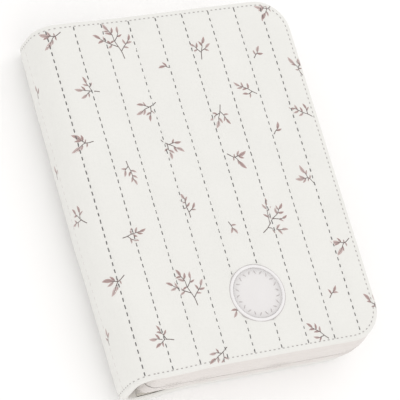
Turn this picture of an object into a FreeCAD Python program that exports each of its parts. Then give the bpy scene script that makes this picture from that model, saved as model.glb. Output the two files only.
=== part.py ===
import FreeCAD, Part
import math
import os

import Sketcher
from FreeCAD import Vector

"""A prayer book in its padded zip-around cover, lying closed on its back cover.

X runs from the spine (-X) to the fore edge (+X), Y from the tail (-Y) to the head (+Y), and Z from the
back cover up to the front cover. The origin is the middle of the back cover's outer face. The cover is a
front panel, a spine and a back panel that meet in two rounded folds. A zipper joins the two panels round the
tail, the fore edge and the head: one tape is sewn to each panel, and they meet halfway up the wall. The book's
boards sit in a sleeve inside each panel, and its leaves turn about the middle of the block's spine.
"""

# Driving dimensions, in millimetres and degrees: alias, value, meaning.
SIZES = [
    ("case_width", 141.0, "outer width, from the spine's face to the fore edge"),
    ("case_height", 190.0, "outer height, from tail to head"),
    ("case_thick", 35.0, "outer thickness, closed"),
    ("corner_round", 18.0, "plan radius of the panels' fore-edge corners"),
    ("fold_round", 11.0, "outer radius of the two folds beside the spine"),
    ("fold_gap", 1.0, "degrees left open on each side of a fold"),
    ("fabric", 0.8, "outer fabric"),
    ("foam", 2.2, "foam pad"),
    ("lining", 0.6, "lining"),
    ("hem", 1.0, "width of the outer fabric's turned edge"),
    ("wall_bulge", 1.2, "how far the chain stands outside the panels' edges"),
    ("tape", 0.6, "zipper tape"),
    ("tape_inset", 0.4, "the tape's outer face inside the panel's edge, where it is sewn in"),
    ("chain_gap", 1.1, "slit between the two tapes"),
    ("coil_lift", 0.1, "the bowed tape's inner face to the coil"),
    ("coil_deep", 1.5, "coil row, across the wall"),
    ("coil_high", 1.9, "coil row, along the wall"),
    ("hook_round", 5.0, "radius where the tapes' ends turn inwards beside the spine"),
    ("hook_length", 2.5, "straight end of a turned-in tape"),
    ("hook_inset", 0.5, "the turned-in tape's path from the end of the fold, towards the fore edge"),
    ("chain_start", 8.5, "coil's end from the turned-in tape, along the wall"),
    ("stop_long", 2.4, "end stop, along the chain"),
    ("slider_long", 11.0, "slider, along the chain"),
    ("slider_wide", 9.0, "slider, across the chain"),
    ("slider_plate", 1.0, "thickness of the slider's plates"),
    ("slider_room", 0.3, "running clearance round the coil and the tape"),
    ("slider_web", 0.5, "web between the slider's plates, in the slit"),
    ("slider_web_long", 3.0, "web, along the chain"),
    ("slider_flange", 1.0, "width of the inner plate's side flanges"),
    ("slider_nose", 3.2, "corner radius of the slider's plates"),
    ("slider_behind", 0.8, "slider to the end stops at rest, and to the front coil's end"),
    ("bail_bore", 0.9, "inner radius of the bail"),
    ("bail_stock", 0.7, "bail's thickness"),
    ("bail_wide", 1.6, "bail, across the chain"),
    ("bail_rise", 0.85, "bail's centre above the outer plate"),
    ("pull_pin", 0.6, "radius of the pull's crossbar"),
    ("pull_long", 24.0, "pull, from the crossbar's axis"),
    ("pull_wide", 7.0, "pull's width"),
    ("pull_thick", 1.0, "pull's thickness"),
    ("pull_eye_long", 2.6, "window that the bail passes through, along the pull"),
    ("pull_eye_wide", 3.0, "window that the bail passes through, across the pull"),
    ("pull_slot_long", 9.0, "slot near the pull's free end"),
    ("pull_slot_wide", 2.6, "slot near the pull's free end"),
    ("badge_fore", 64.6, "panel's fore edge to the badge's centre"),
    ("badge_tail", 32.8, "panel's tail edge to the badge's centre"),
    ("badge_radius", 15.0, "badge"),
    ("badge_thick", 0.7, "badge's plate"),
    ("badge_rim_wide", 1.9, "badge's raised rim"),
    ("badge_rim_high", 1.2, "badge's raised rim"),
    ("board_fore", 10.0, "panel's fore edge to the boards' fore edge"),
    ("board_ends", 9.0, "panel's head or tail to the boards' edges"),
    ("board_thick", 2.2, "book's boards"),
    ("board_round", 8.0, "boards' fore-edge corners"),
    ("board_lift", 0.2, "lining to board"),
    ("board_joint", 1.0, "how far the boards' spine edge reaches past the start of the fold"),
    ("endpaper", 0.3, "pasted endpaper"),
    ("sleeve", 0.5, "sleeve's cloth"),
    ("sleeve_lift", 0.1, "endpaper to sleeve"),
    ("sleeve_edge", 4.0, "panel's fore edge to the sleeve's seam"),
    ("sleeve_ends", 5.5, "panel's head or tail to the sleeve's seam"),
    ("sleeve_wide", 54.0, "how far a sleeve reaches over its board"),
    ("sleeve_round", 14.0, "sleeve's fore-edge corners"),
    ("page_lift", 0.3, "sleeve to block"),
    ("square", 3.0, "how far the boards stand out past the block"),
    ("page_round", 7.0, "block's fore-edge corners"),
    ("page_axis", 10.75, "spine's outer face to the pages' axis"),
    ("page_gap", 0.3, "pages' axis to the block's spine lining"),
    ("mull", 0.6, "block's spine lining"),
    ("headband", 1.6, "headband's roll"),
    ("leaf", 0.2, "loose leaf"),
    ("leaf_air", 0.12, "air between loose leaves"),
    ("leaf_start", 1.2, "pages' axis to a loose leaf"),
    ("leaf_count", 4.0, "loose leaves, half of them on each side of the opening"),
    ("book_spine", 1.6, "book's spine strip"),
    ("book_spine_lift", 0.5, "spine lining to the book's spine strip"),
    ("book_spine_over", 2.0, "how far the book's spine strip reaches past the start of each fold"),
]

FORE = "Sizes.case_width / 2"
HEAD = "Sizes.case_height / 2"
TOP = "Sizes.case_thick"
MIDDLE = "Sizes.case_thick / 2"
PANEL = "(Sizes.fabric + Sizes.foam + Sizes.lining)"
FOLD_START = "(Sizes.fold_round - Sizes.case_width / 2)"
FOLD_ARC = "45 - Sizes.fold_gap"
BOARD_FORE = "(Sizes.case_width / 2 - Sizes.board_fore)"
BOARD_HALF = "(Sizes.case_height / 2 - Sizes.board_ends)"
PAGE_FORE = f"({BOARD_FORE} - Sizes.square)"
PAGE_HALF = f"({BOARD_HALF} - Sizes.square)"
PAGE_AXIS = "(Sizes.page_axis - Sizes.case_width / 2)"
BOARD_IN = f"({PANEL} + Sizes.board_lift)"
SLEEVE_IN = f"({BOARD_IN} + Sizes.board_thick + Sizes.endpaper + Sizes.sleeve_lift)"
BLOCK_IN = f"({SLEEVE_IN} + Sizes.sleeve + Sizes.page_lift)"
LEAF_PITCH = "(Sizes.leaf + Sizes.leaf_air)"
LEAVES_HALF = f"(Sizes.leaf_count / 2 * {LEAF_PITCH} + Sizes.leaf_air / 2)"
HOOK_X = f"({FOLD_START} + Sizes.hook_inset)"
CHAIN_END_X = f"({HOOK_X} + Sizes.chain_start)"
SLIDER_X = f"({CHAIN_END_X} + Sizes.slider_behind + Sizes.slider_long / 2)"
TAPE_OUT = f"({HEAD} + Sizes.wall_bulge)"
COIL_OUT = f"({TAPE_OUT} - Sizes.tape - Sizes.coil_lift)"
COIL_IN = f"({COIL_OUT} - Sizes.coil_deep)"
PLATE_OUT = f"({TAPE_OUT} + Sizes.slider_room)"
BAIL_Y = f"({PLATE_OUT} + Sizes.slider_plate + Sizes.bail_rise)"

doc = FreeCAD.newDocument("PrayerBook")
sheet = doc.addObject("Spreadsheet::Sheet", "Sizes")
SUB_PARTS = []


def fill_sheet():
    """Writes each driving dimension as plain text in its own row, with its alias."""
    for row, (alias, value, meaning) in enumerate(SIZES, start=1):
        sheet.set(f"A{row}", str(value))
        sheet.setAlias(f"A{row}", alias)
        sheet.set(f"B{row}", meaning)
    doc.recompute()


def sub_part(obj, label):
    """Names a finished object and puts it on the list of what is written."""
    obj.Label = label
    SUB_PARTS.append(obj)
    return obj


def bind(obj, **expressions):
    """Binds properties of obj to expressions on the sheet."""
    for name, expression in expressions.items():
        obj.setExpression(name.replace("_of_", "."), expression)


def new_body(label):
    """A PartDesign body that is one sub-part."""
    return sub_part(doc.addObject("PartDesign::Body", label), label)


def new_sketch(body, name, role, shift_x="0", shift_y="0", shift_z="0"):
    """A sketch on one of the body's own origin planes, shifted along the sketch's own axes."""
    sketch = body.newObject("Sketcher::SketchObject", f"{body.Label}_{name}")
    plane = next(f for f in body.Origin.OriginFeatures if f.Role == role)
    sketch.AttachmentSupport = [(plane, "")]
    sketch.MapMode = "FlatFace"
    for axis, shift in (("x", shift_x), ("y", shift_y), ("z", shift_z)):
        sketch.setExpression(f"AttachmentOffset.Base.{axis}", shift)
    return sketch


def pin_point(sketch, geometry, end, place):
    """Fixes one end of a line at a pair of expressions, measured from the sketch's origin."""
    for kind, expression in zip(("DistanceX", "DistanceY"), place):
        index = sketch.addConstraint(Sketcher.Constraint(kind, -1, 1, geometry, end, 1.0))
        sketch.setExpression(f"Constraints[{index}]", expression)


def polygon(sketch, places):
    """A closed outline of straight lines whose corners are pairs of expressions."""
    count = len(places)
    for i in range(count):
        turn = 2 * math.pi * i / count
        ahead = 2 * math.pi * (i + 1) / count
        sketch.addGeometry(
            Part.LineSegment(
                Vector(math.cos(turn), math.sin(turn), 0), Vector(math.cos(ahead), math.sin(ahead), 0)
            )
        )
    for i in range(count):
        sketch.addConstraint(Sketcher.Constraint("Coincident", i, 2, (i + 1) % count, 1))
        pin_point(sketch, i, 1, places[i])


def rectangle(sketch, low_x, low_y, high_x, high_y):
    """A closed rectangle between two corners."""
    polygon(sketch, [(low_x, low_y), (high_x, low_y), (high_x, high_y), (low_x, high_y)])


def lines_and_arcs(sketch, runs, arcs, closed):
    """Straight runs joined by arcs.

    runs is a list of pairs of places, and arcs holds, for each join between a run and the next one, the arc's
    radius as an expression and which side its centre lies on (1 is left of the way along, -1 right), or None
    where the two runs simply meet.
    """
    for number, (start, end) in enumerate(runs):
        sketch.addGeometry(Part.LineSegment(Vector(number, 0, 0), Vector(number + 1, 1, 0)))
        pin_point(sketch, number, 1, start)
        pin_point(sketch, number, 2, end)
    doc.recompute()
    joins = len(runs) if closed else len(runs) - 1
    for number in range(joins):
        after = (number + 1) % len(runs)
        if arcs[number] is None:
            continue
        radius, side = arcs[number]
        start = Vector(sketch.Geometry[number].EndPoint)
        end = Vector(sketch.Geometry[after].StartPoint)
        # The radius is bound below; this first guess only has to lie on the right side.
        chord = end - start
        guess = chord.Length / math.sqrt(2)
        across = Vector(-chord.y, chord.x, 0).normalize() * side
        centre = (start + end) / 2 + across * math.sqrt(max(guess**2 - (chord.Length / 2) ** 2, 0))
        middle = centre - across * guess
        arc = sketch.addGeometry(Part.Arc(start, middle, end))
        first, last = (1, 2) if side > 0 else (2, 1)
        sketch.addConstraint(Sketcher.Constraint("Coincident", arc, first, number, 2))
        sketch.addConstraint(Sketcher.Constraint("Coincident", arc, last, after, 1))
        bound = sketch.addConstraint(Sketcher.Constraint("Radius", arc, guess))
        sketch.setExpression(f"Constraints[{bound}]", radius)


def pad(body, sketch, length, backwards=False, both_ways=False):
    """Pads a sketch by an expression."""
    feature = body.newObject("PartDesign::Pad", f"{sketch.Name}_pad")
    feature.Profile = sketch
    feature.Reversed = backwards
    feature.Midplane = both_ways
    bind(feature, Length=length)
    return feature


def pocket(body, sketch, depth, backwards=False):
    """Cuts a sketch into the body by an expression and makes sure that something was cut."""
    doc.recompute()
    before = body.Shape.Volume
    feature = body.newObject("PartDesign::Pocket", f"{sketch.Name}_pocket")
    feature.Profile = sketch
    feature.Reversed = backwards
    bind(feature, Length=depth)
    doc.recompute()
    if not body.Shape.Volume < before:
        raise RuntimeError(f"{sketch.Name} cuts nothing")
    return feature


def turn(body, sketch, axis, angle, backwards=False):
    """Revolves a sketch about one of its own axes by an expression in degrees."""
    feature = body.newObject("PartDesign::Revolution", f"{sketch.Name}_turn")
    feature.Profile = sketch
    feature.ReferenceAxis = (sketch, [axis])
    feature.Reversed = backwards
    bind(feature, Angle=angle)
    return feature


def round_edges(body, name, radius, wanted):
    """Fillets the body's straight edges that the test wanted(low, high) picks, given their two ends."""
    doc.recompute()
    base = body.Tip
    picked = []
    for number, edge in enumerate(base.Shape.Edges, start=1):
        if len(edge.Vertexes) == 2 and wanted(edge.Vertexes[0].Point, edge.Vertexes[1].Point):
            picked.append(f"Edge{number}")
    if not picked:
        raise RuntimeError(f"{body.Label}: no edge for {name}")
    feature = body.newObject("PartDesign::Fillet", f"{body.Label}_{name}")
    feature.Base = (base, picked)
    bind(feature, Radius=radius)
    return feature


def upright_at_x(place):
    """A test for edges along Z at one X."""
    return lambda a, b: abs(a.x - place) < 1e-6 and abs(b.x - place) < 1e-6 and abs(a.z - b.z) > 1e-6 and (
        abs(a.y - b.y) < 1e-6
    )


def size(alias):
    """The value that the sheet holds for an alias."""
    return float(sheet.get(alias))


def plate(label, low_x, high_x, half_y, low_z, thick, corner=None):
    """A flat sheet or block, symmetric in Y, with its two fore-edge corners rounded."""
    body = new_body(label)
    outline = new_sketch(body, "outline", "XY_Plane", shift_z=low_z)
    rectangle(outline, low_x, f"-({half_y})", high_x, half_y)
    pad(body, outline, thick)
    if corner:
        doc.recompute()
        fore = body.Shape.BoundBox.XMax
        round_edges(body, "corners", corner, upright_at_x(fore))
    return body


class Side:
    """The front or the back of the case: which way is in, and where its outer face lies."""

    def __init__(self, name, is_front):
        self.name = name
        self.is_front = is_front

    def low(self, depth, thick):
        """Z of the underside of a layer that starts depth inside the outer face."""
        return f"{TOP} - ({depth}) - ({thick})" if self.is_front else depth

    def radial(self, depth):
        """The place of a layer's face in a fold's sketch, measured from the fold's centre."""
        return f"Sizes.fold_round - ({depth})" if self.is_front else f"({depth}) - Sizes.fold_round"


FRONT = Side("front", True)
BACK = Side("back", False)


def panel_layer(side, label, depth, thick, inset, corner):
    """One layer of a panel: the flat part with rounded fore-edge corners, and its half of the fold."""
    body = new_body(label)
    flat = new_sketch(body, "flat", "XY_Plane", shift_z=side.low(depth, thick))
    half = f"({HEAD} - ({inset}))"
    fore = f"({FORE} - ({inset}))"
    rectangle(flat, FOLD_START, f"-{half}", fore, half)
    pad(body, flat, thick)
    doc.recompute()
    round_edges(body, "corners", corner, upright_at_x(body.Shape.BoundBox.XMax))
    centre_z = f"{TOP} - Sizes.fold_round" if side.is_front else "Sizes.fold_round"
    fold = new_sketch(body, "fold", "YZ_Plane", shift_y=centre_z, shift_z=FOLD_START)
    rectangle(fold, f"-{half}", side.radial(f"{depth} + {thick}"), half, side.radial(depth))
    turn(body, fold, "H_Axis", FOLD_ARC, backwards=side.is_front)
    return body


def hollow(body, low_x, half, fore, rim, mouth, depth, mouth_is_low):
    """Cuts a tray's inside from its mouth and rounds the inner corners."""
    inside = new_sketch(body, "inside", "XY_Plane", shift_z=mouth)
    rectangle(inside, f"{low_x} - 1", f"-({half} - {rim})", f"{fore} - {rim}", f"{half} - {rim}")
    pocket(body, inside, depth, backwards=mouth_is_low)


def round_tray(body, rim, corner):
    """Rounds a tray's fore-edge corners, the inner ones first."""
    doc.recompute()
    fore = body.Shape.BoundBox.XMax
    round_edges(body, "inner_corners", f"{corner} - {rim}", upright_at_x(fore - size(rim.split(".")[1])))
    round_edges(body, "corners", corner, upright_at_x(fore))


def panel_fabric(side):
    """The outer fabric of a panel: a skin whose edge is turned in over the foam and the lining."""
    body = new_body(f"{side.name}_outer_fabric")
    flat = new_sketch(body, "flat", "XY_Plane", shift_z=side.low("0", PANEL))
    rectangle(flat, FOLD_START, f"-{HEAD}", FORE, HEAD)
    pad(body, flat, PANEL)
    rim = side.low("0", PANEL) if side.is_front else PANEL
    hollow(body, FOLD_START, HEAD, FORE, "Sizes.hem", rim, f"{PANEL} - Sizes.fabric", side.is_front)
    round_tray(body, "Sizes.hem", "Sizes.corner_round")
    centre_z = f"{TOP} - Sizes.fold_round" if side.is_front else "Sizes.fold_round"
    fold = new_sketch(body, "fold", "YZ_Plane", shift_y=centre_z, shift_z=FOLD_START)
    polygon(fold, hemmed_strip(side.radial("0"), side.radial("Sizes.fabric"), side.radial(PANEL)))
    turn(body, fold, "H_Axis", FOLD_ARC, backwards=side.is_front)
    return body


def hemmed_strip(outer, skin, rim):
    """The corners of a fabric strip's section along Y: a skin with a turned edge at the head and the tail."""
    inner = f"({HEAD} - Sizes.hem)"
    return [
        (f"-{HEAD}", outer),
        (HEAD, outer),
        (HEAD, rim),
        (inner, rim),
        (inner, skin),
        (f"-{inner}", skin),
        (f"-{inner}", rim),
        (f"-{HEAD}", rim),
    ]


def spine_piece(label, section):
    """A strip of the spine: its flat face and its half of each fold.

    section gives the corners of the strip's outline in a level plane, as (Y, distance from the fold's centre
    towards -X).
    """
    body = new_body(label)
    flat = new_sketch(body, "flat", "XY_Plane", shift_x=FOLD_START, shift_z="Sizes.fold_round")
    corners = [(f"-({radial})", along) for along, radial in section]
    polygon(flat, corners)
    pad(body, flat, f"{TOP} - 2 * Sizes.fold_round")
    for name, height, down in (
        ("upper", f"{TOP} - Sizes.fold_round", False),
        ("lower", "Sizes.fold_round", True),
    ):
        fold = new_sketch(body, name, "XY_Plane", shift_x=FOLD_START, shift_z=height)
        polygon(fold, corners)
        turn(body, fold, "V_Axis", FOLD_ARC, backwards=down)
    return body


def strip_section(depth, thick, inset):
    """A plain strip's outline for spine_piece."""
    half = f"({HEAD} - ({inset}))"
    near = f"(Sizes.fold_round - ({depth}) - ({thick}))"
    far = f"(Sizes.fold_round - ({depth}))"
    return [(f"-{half}", near), (half, near), (half, far), (f"-{half}", far)]


def make_spine():
    """The spine's three layers and the book's own spine strip."""
    spine_piece("spine_outer_fabric", hemmed_strip("Sizes.fold_round", "Sizes.fold_round - Sizes.fabric",
                                                   f"Sizes.fold_round - {PANEL}"))
    spine_piece("spine_foam", strip_section("Sizes.fabric", "Sizes.foam", "Sizes.hem"))
    spine_piece("spine_lining", strip_section("Sizes.fabric + Sizes.foam", "Sizes.lining", "Sizes.hem"))
    inner_face = f"{PANEL} + Sizes.book_spine_lift - {FORE}"
    low = "Sizes.fold_round - Sizes.book_spine_over"
    strip = doc.addObject("Part::Box", "book_spine_strip")
    bind(strip, Length="Sizes.book_spine", Width=f"2 * {BOARD_HALF}", Height=f"{TOP} - 2 * ({low})",
         Placement_of_Base_of_x=inner_face, Placement_of_Base_of_y=f"-{BOARD_HALF}",
         Placement_of_Base_of_z=low)
    sub_part(strip, "book_spine_strip")


def make_sleeve(side):
    """The cloth sleeve inside a panel: a flat pocket, open towards the spine, that a board slides into."""
    body = new_body(f"{side.name}_sleeve")
    fore = f"({FORE} - Sizes.sleeve_edge)"
    half = f"({HEAD} - Sizes.sleeve_ends)"
    low_x = f"({fore} - Sizes.sleeve_wide)"
    deep = f"({SLEEVE_IN} - {PANEL} + Sizes.sleeve)"
    flat = new_sketch(body, "flat", "XY_Plane", shift_z=side.low(PANEL, deep))
    rectangle(flat, low_x, f"-{half}", fore, half)
    pad(body, flat, deep)
    mouth = f"{TOP} - {PANEL}" if side.is_front else PANEL
    hollow(body, low_x, half, fore, "Sizes.sleeve", mouth, f"{deep} - Sizes.sleeve", not side.is_front)
    round_tray(body, "Sizes.sleeve", "Sizes.sleeve_round")
    return body


def make_book_side(side):
    """One board with its pasted endpaper."""
    joint = f"({FOLD_START} - Sizes.board_joint)"
    fore, half = BOARD_FORE, BOARD_HALF
    plate(f"{side.name}_board", joint, fore, half, side.low(BOARD_IN, "Sizes.board_thick"), "Sizes.board_thick",
          "Sizes.board_round")
    paper_in = f"({BOARD_IN} + Sizes.board_thick)"
    plate(f"{side.name}_endpaper", f"{joint} + Sizes.hem", f"{fore} - 2 * Sizes.hem", f"{half} - 2 * Sizes.hem",
          side.low(paper_in, "Sizes.endpaper"), "Sizes.endpaper", "Sizes.board_round - 2 * Sizes.hem")


def make_block_side(side):
    """Half of the block, with its half of the spine lining and of the two headbands."""
    thick = f"({MIDDLE} - {BLOCK_IN} - {LEAVES_HALF})"
    low = side.low(BLOCK_IN, thick)
    lined = f"({PAGE_AXIS} + Sizes.page_gap)"
    bound = f"({lined} + Sizes.mull)"
    half = PAGE_HALF
    plate(f"{side.name}_pages", bound, PAGE_FORE, half, low, thick, "Sizes.page_round")
    plate(f"{side.name}_spine_lining", lined, bound, half, low, thick)
    bands = []
    for end, place in (("tail", f"-{half} - Sizes.headband"), ("head", half)):
        band = doc.addObject("Part::Box", f"{side.name}_headband_{end}")
        bind(band, Length="Sizes.headband", Width="Sizes.headband", Height=thick, Placement_of_Base_of_x=lined,
             Placement_of_Base_of_y=place, Placement_of_Base_of_z=low)
        bands.append(band)
    pair = doc.addObject("Part::Compound", f"{side.name}_headbands")
    pair.Links = bands
    sub_part(pair, f"{side.name}_headbands")


def make_leaves():
    """The loose leaves where the book opens, one thin plate each, stacked about the middle of the block."""
    count = int(size("leaf_count"))
    for number in range(count):
        low = f"{MIDDLE} + ({number} - Sizes.leaf_count / 2) * {LEAF_PITCH} + Sizes.leaf_air / 2"
        plate(f"leaf_{number + 1}", f"{PAGE_AXIS} + Sizes.leaf_start", PAGE_FORE, PAGE_HALF, low, "Sizes.leaf",
              "Sizes.page_round")


def wall_path(body, name, height, tail_start, head_end, hooked):
    """The zipper's way round the panels' edges, from the tail of the spine to its head.

    hooked turns both ends inwards beside the spine; otherwise the path starts and ends on the straight walls, at
    the places tail_start and head_end.
    """
    path = new_sketch(body, name, "XY_Plane", shift_z=height)
    bend = f"({HOOK_X} + Sizes.hook_round)"
    corner_x = f"({FORE} - Sizes.corner_round)"
    corner_y = f"({HEAD} - Sizes.corner_round)"
    hook_y = f"({HEAD} - Sizes.hook_round)"
    hook_end = f"({hook_y} - Sizes.hook_length)"
    tail = ((tail_start or bend, f"-{HEAD}"), (corner_x, f"-{HEAD}"))
    fore = ((FORE, f"-{corner_y}"), (FORE, corner_y))
    head = ((corner_x, HEAD), (head_end or bend, HEAD))
    runs = [tail, fore, head]
    arcs = [("Sizes.corner_round", 1), ("Sizes.corner_round", 1)]
    if hooked:
        runs.insert(0, ((HOOK_X, f"-{hook_end}"), (HOOK_X, f"-{hook_y}")))
        runs.append(((HOOK_X, hook_y), (HOOK_X, hook_end)))
        arcs = [("Sizes.hook_round", 1), *arcs, ("Sizes.hook_round", 1)]
    lines_and_arcs(path, runs, arcs, closed=False)
    return path


def pipe(body, profile, path):
    """Sweeps a profile along a level path."""
    feature = body.newObject("PartDesign::AdditivePipe", f"{body.Label}_sweep")
    feature.Profile = profile
    feature.Spine = path
    feature.Mode = "Frenet"
    return feature


def make_tape(side):
    """A zipper tape: a band that bulges out from the panel's edge to the chain, hooked in at both ends."""
    up = "" if side.is_front else "-"
    body = new_body(f"{side.name}_zip_tape")
    path = wall_path(body, "path", MIDDLE, None, None, hooked=True)
    start = f"{HEAD} - Sizes.hook_round - Sizes.hook_length"
    profile = new_sketch(body, "profile", "XZ_Plane", shift_x=HOOK_X, shift_y=MIDDLE, shift_z=start)
    slit = f"{up}(Sizes.chain_gap / 2)"
    seam = f"{up}({MIDDLE} - {PANEL})"
    rise = f"({MIDDLE} - {PANEL} - Sizes.chain_gap / 2)"
    swing = "(Sizes.wall_bulge + Sizes.tape_inset)"
    bow = f"({rise} ^ 2 + {swing} ^ 2) / (2 * {swing})"
    out, inward = "-Sizes.wall_bulge", "Sizes.tape - Sizes.wall_bulge"
    sewn_out, sewn_in = "Sizes.tape_inset", "Sizes.tape_inset + Sizes.tape"
    turn_side = -1 if side.is_front else 1
    runs = [((inward, slit), (out, slit)), ((sewn_out, seam), (sewn_in, seam))]
    lines_and_arcs(profile, runs, [(bow, turn_side), (bow, -turn_side)], closed=True)
    pipe(body, profile, path)
    return body


def make_coil(side):
    """A coil row on the inner face of its tape, as a plain band."""
    body = new_body(f"{side.name}_zip_coil")
    # The front row stops short of the closed slider, so that the front cover lifts out of it.
    head_end = f"({SLIDER_X} + Sizes.slider_long / 2 + Sizes.slider_behind)" if side.is_front else CHAIN_END_X
    path = wall_path(body, "path", MIDDLE, CHAIN_END_X, head_end, hooked=False)
    profile = new_sketch(body, "profile", "YZ_Plane", shift_x=f"-{HEAD}", shift_y=MIDDLE, shift_z=CHAIN_END_X)
    near = "Sizes.chain_gap / 2"
    far = f"({near} + Sizes.coil_high)"
    low, high = (near, far) if side.is_front else (f"-{far}", f"-({near})")
    outer = "Sizes.tape + Sizes.coil_lift - Sizes.wall_bulge"
    rectangle(profile, outer, low, f"{outer} + Sizes.coil_deep", high)
    pipe(body, profile, path)
    return body


def make_stops():
    """The end stops: one clip on each tape at the head, and one on the back tape at the tail."""
    clips = (
        ("front_top_stop", COIL_IN, 1),
        ("back_top_stop", COIL_IN, -1),
        ("zip_bottom_stop", f"-{COIL_OUT}", -1),
    )
    for label, low_y, up in clips:
        clip = doc.addObject("Part::Box", label)
        base = "Sizes.chain_gap / 2"
        low_z = f"{MIDDLE} + {base}" if up > 0 else f"{MIDDLE} - {base} - Sizes.coil_high"
        bind(clip, Length="Sizes.stop_long", Width="Sizes.coil_deep", Height="Sizes.coil_high",
             Placement_of_Base_of_x=f"{CHAIN_END_X} - Sizes.stop_long", Placement_of_Base_of_y=low_y,
             Placement_of_Base_of_z=low_z)
        sub_part(clip, label)


def make_slider():
    """The slider: an outer plate, an inner plate with side flanges round the coil, and the web that joins them."""
    body = new_body("slider_body")
    half_long, half_wide = "(Sizes.slider_long / 2)", "(Sizes.slider_wide / 2)"
    inner_top = f"({COIL_IN} - Sizes.slider_room)"
    for name, face in (("outer", f"{PLATE_OUT} + Sizes.slider_plate"), ("inner", inner_top)):
        sketch = new_sketch(body, name, "XZ_Plane", shift_x=SLIDER_X, shift_y=MIDDLE, shift_z=f"-({face})")
        rectangle(sketch, f"-{half_long}", f"-{half_wide}", half_long, half_wide)
    web = new_sketch(body, "web", "XZ_Plane", shift_x=SLIDER_X, shift_y=MIDDLE,
                     shift_z=f"-({PLATE_OUT} + Sizes.slider_plate)")
    rectangle(web, f"-{half_long}", "-Sizes.slider_web / 2", f"Sizes.slider_web_long - {half_long}",
              "Sizes.slider_web / 2")
    full = f"{PLATE_OUT} + 2 * Sizes.slider_plate - {inner_top}"
    pad(body, web, full)
    for name in ("outer", "inner"):
        pad(body, doc.getObject(f"slider_body_{name}"), "Sizes.slider_plate")
    flange_top = f"({COIL_OUT} - 2 * Sizes.slider_room)"
    for name, edge in (("flange_up", f"{half_wide} - Sizes.slider_flange"), ("flange_down", f"-{half_wide}")):
        sketch = new_sketch(body, name, "XZ_Plane", shift_x=SLIDER_X, shift_y=MIDDLE, shift_z=f"-({flange_top})")
        rectangle(sketch, f"-{half_long}", edge, half_long, f"{edge} + Sizes.slider_flange")
        pad(body, sketch, f"{flange_top} - {inner_top}")
    doc.recompute()
    box = body.Shape.BoundBox
    outer_face = box.YMax

    def outer_corner(a, b):
        level = abs(a.x - b.x) < 1e-6 and abs(a.z - b.z) < 1e-6
        tall = abs(max(a.y, b.y) - outer_face) < 1e-6
        at_end = min(abs(a.x - box.XMin), abs(a.x - box.XMax)) < 1e-6
        at_side = min(abs(a.z - box.ZMin), abs(a.z - box.ZMax)) < 1e-6
        return level and tall and at_end and at_side

    round_edges(body, "outer_corners", "Sizes.slider_nose", outer_corner)
    return body


def make_bail():
    """The bail: half a ring on two short legs, standing on the slider's outer plate."""
    body = new_body("slider_bail")
    sketch = new_sketch(body, "arch", "XY_Plane", shift_x=SLIDER_X, shift_y=BAIL_Y, shift_z=f"{MIDDLE}")
    inner, outer = "Sizes.bail_bore", "(Sizes.bail_bore + Sizes.bail_stock)"
    foot = "-Sizes.bail_rise"
    runs = [
        ((f"-{outer}", foot), (f"-{inner}", foot)),
        ((f"-{inner}", foot), (f"-{inner}", "0")),
        ((inner, "0"), (inner, foot)),
        ((inner, foot), (outer, foot)),
        ((outer, foot), (outer, "0")),
        ((f"-{outer}", "0"), (f"-{outer}", foot)),
    ]
    lines_and_arcs(sketch, runs, [None, (inner, -1), None, None, (outer, 1), None], closed=True)
    pad(body, sketch, "Sizes.bail_wide", both_ways=True)
    return body


def make_pull():
    """The pull: a flat tab with a slot, and a crossbar that lies under the bail."""
    body = new_body("pull_tab")
    place = {"shift_x": SLIDER_X, "shift_y": MIDDLE, "shift_z": f"-({BAIL_Y} + Sizes.pull_thick / 2)"}
    half = "(Sizes.pull_wide / 2)"
    tab = new_sketch(body, "tab", "XZ_Plane", **place)
    eye_end = "(Sizes.pull_pin + Sizes.pull_eye_long)"
    eye_half = "(Sizes.pull_eye_wide / 2)"
    rectangle(tab, "-Sizes.pull_pin", f"-{half}", "Sizes.pull_long", half)
    pad(body, tab, "Sizes.pull_thick")
    round_edges(body, "free_end", f"{half} - 0.2", lambda a, b: abs(a.x - b.x) < 1e-6 and abs(a.z - b.z) < 1e-6
                and abs(a.x - body.Shape.BoundBox.XMax) < 1e-6)
    eye = new_sketch(body, "eye", "XZ_Plane", **place)
    rectangle(eye, "Sizes.pull_pin", f"-{eye_half}", eye_end, eye_half)
    pocket(body, eye, "Sizes.pull_thick", backwards=True)
    slot = new_sketch(body, "slot", "XZ_Plane", **place)
    slot_half = "Sizes.pull_slot_wide / 2"
    slot_end = f"(Sizes.pull_long - {half})"
    slot_start = f"({slot_end} - Sizes.pull_slot_long)"
    runs = [
        ((slot_start, f"-{slot_half}"), (slot_end, f"-{slot_half}")),
        ((slot_end, slot_half), (slot_start, slot_half)),
    ]
    lines_and_arcs(slot, runs, [(slot_half, 1), (slot_half, 1)], closed=True)
    pocket(body, slot, "Sizes.pull_thick", backwards=True)
    return body


def make_badge():
    """The round badge on the front: a thin disc with a raised rim."""
    disc = doc.addObject("Part::Cylinder", "badge_disc")
    bind(disc, Radius="Sizes.badge_radius - Sizes.badge_rim_wide", Height="Sizes.badge_thick")
    outer = doc.addObject("Part::Cylinder", "badge_rim_outer")
    bind(outer, Radius="Sizes.badge_radius", Height="Sizes.badge_rim_high")
    inner = doc.addObject("Part::Cylinder", "badge_rim_inner")
    bind(inner, Radius="Sizes.badge_radius - Sizes.badge_rim_wide", Height="Sizes.badge_rim_high")
    for solid in (disc, outer, inner):
        bind(solid, Placement_of_Base_of_x=f"{FORE} - Sizes.badge_fore",
             Placement_of_Base_of_y=f"Sizes.badge_tail - {HEAD}", Placement_of_Base_of_z=TOP)
    rim = doc.addObject("Part::Cut", "badge_rim")
    rim.Base = outer
    rim.Tool = inner
    sub_part(disc, "badge_disc")
    sub_part(rim, "badge_rim")


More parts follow.
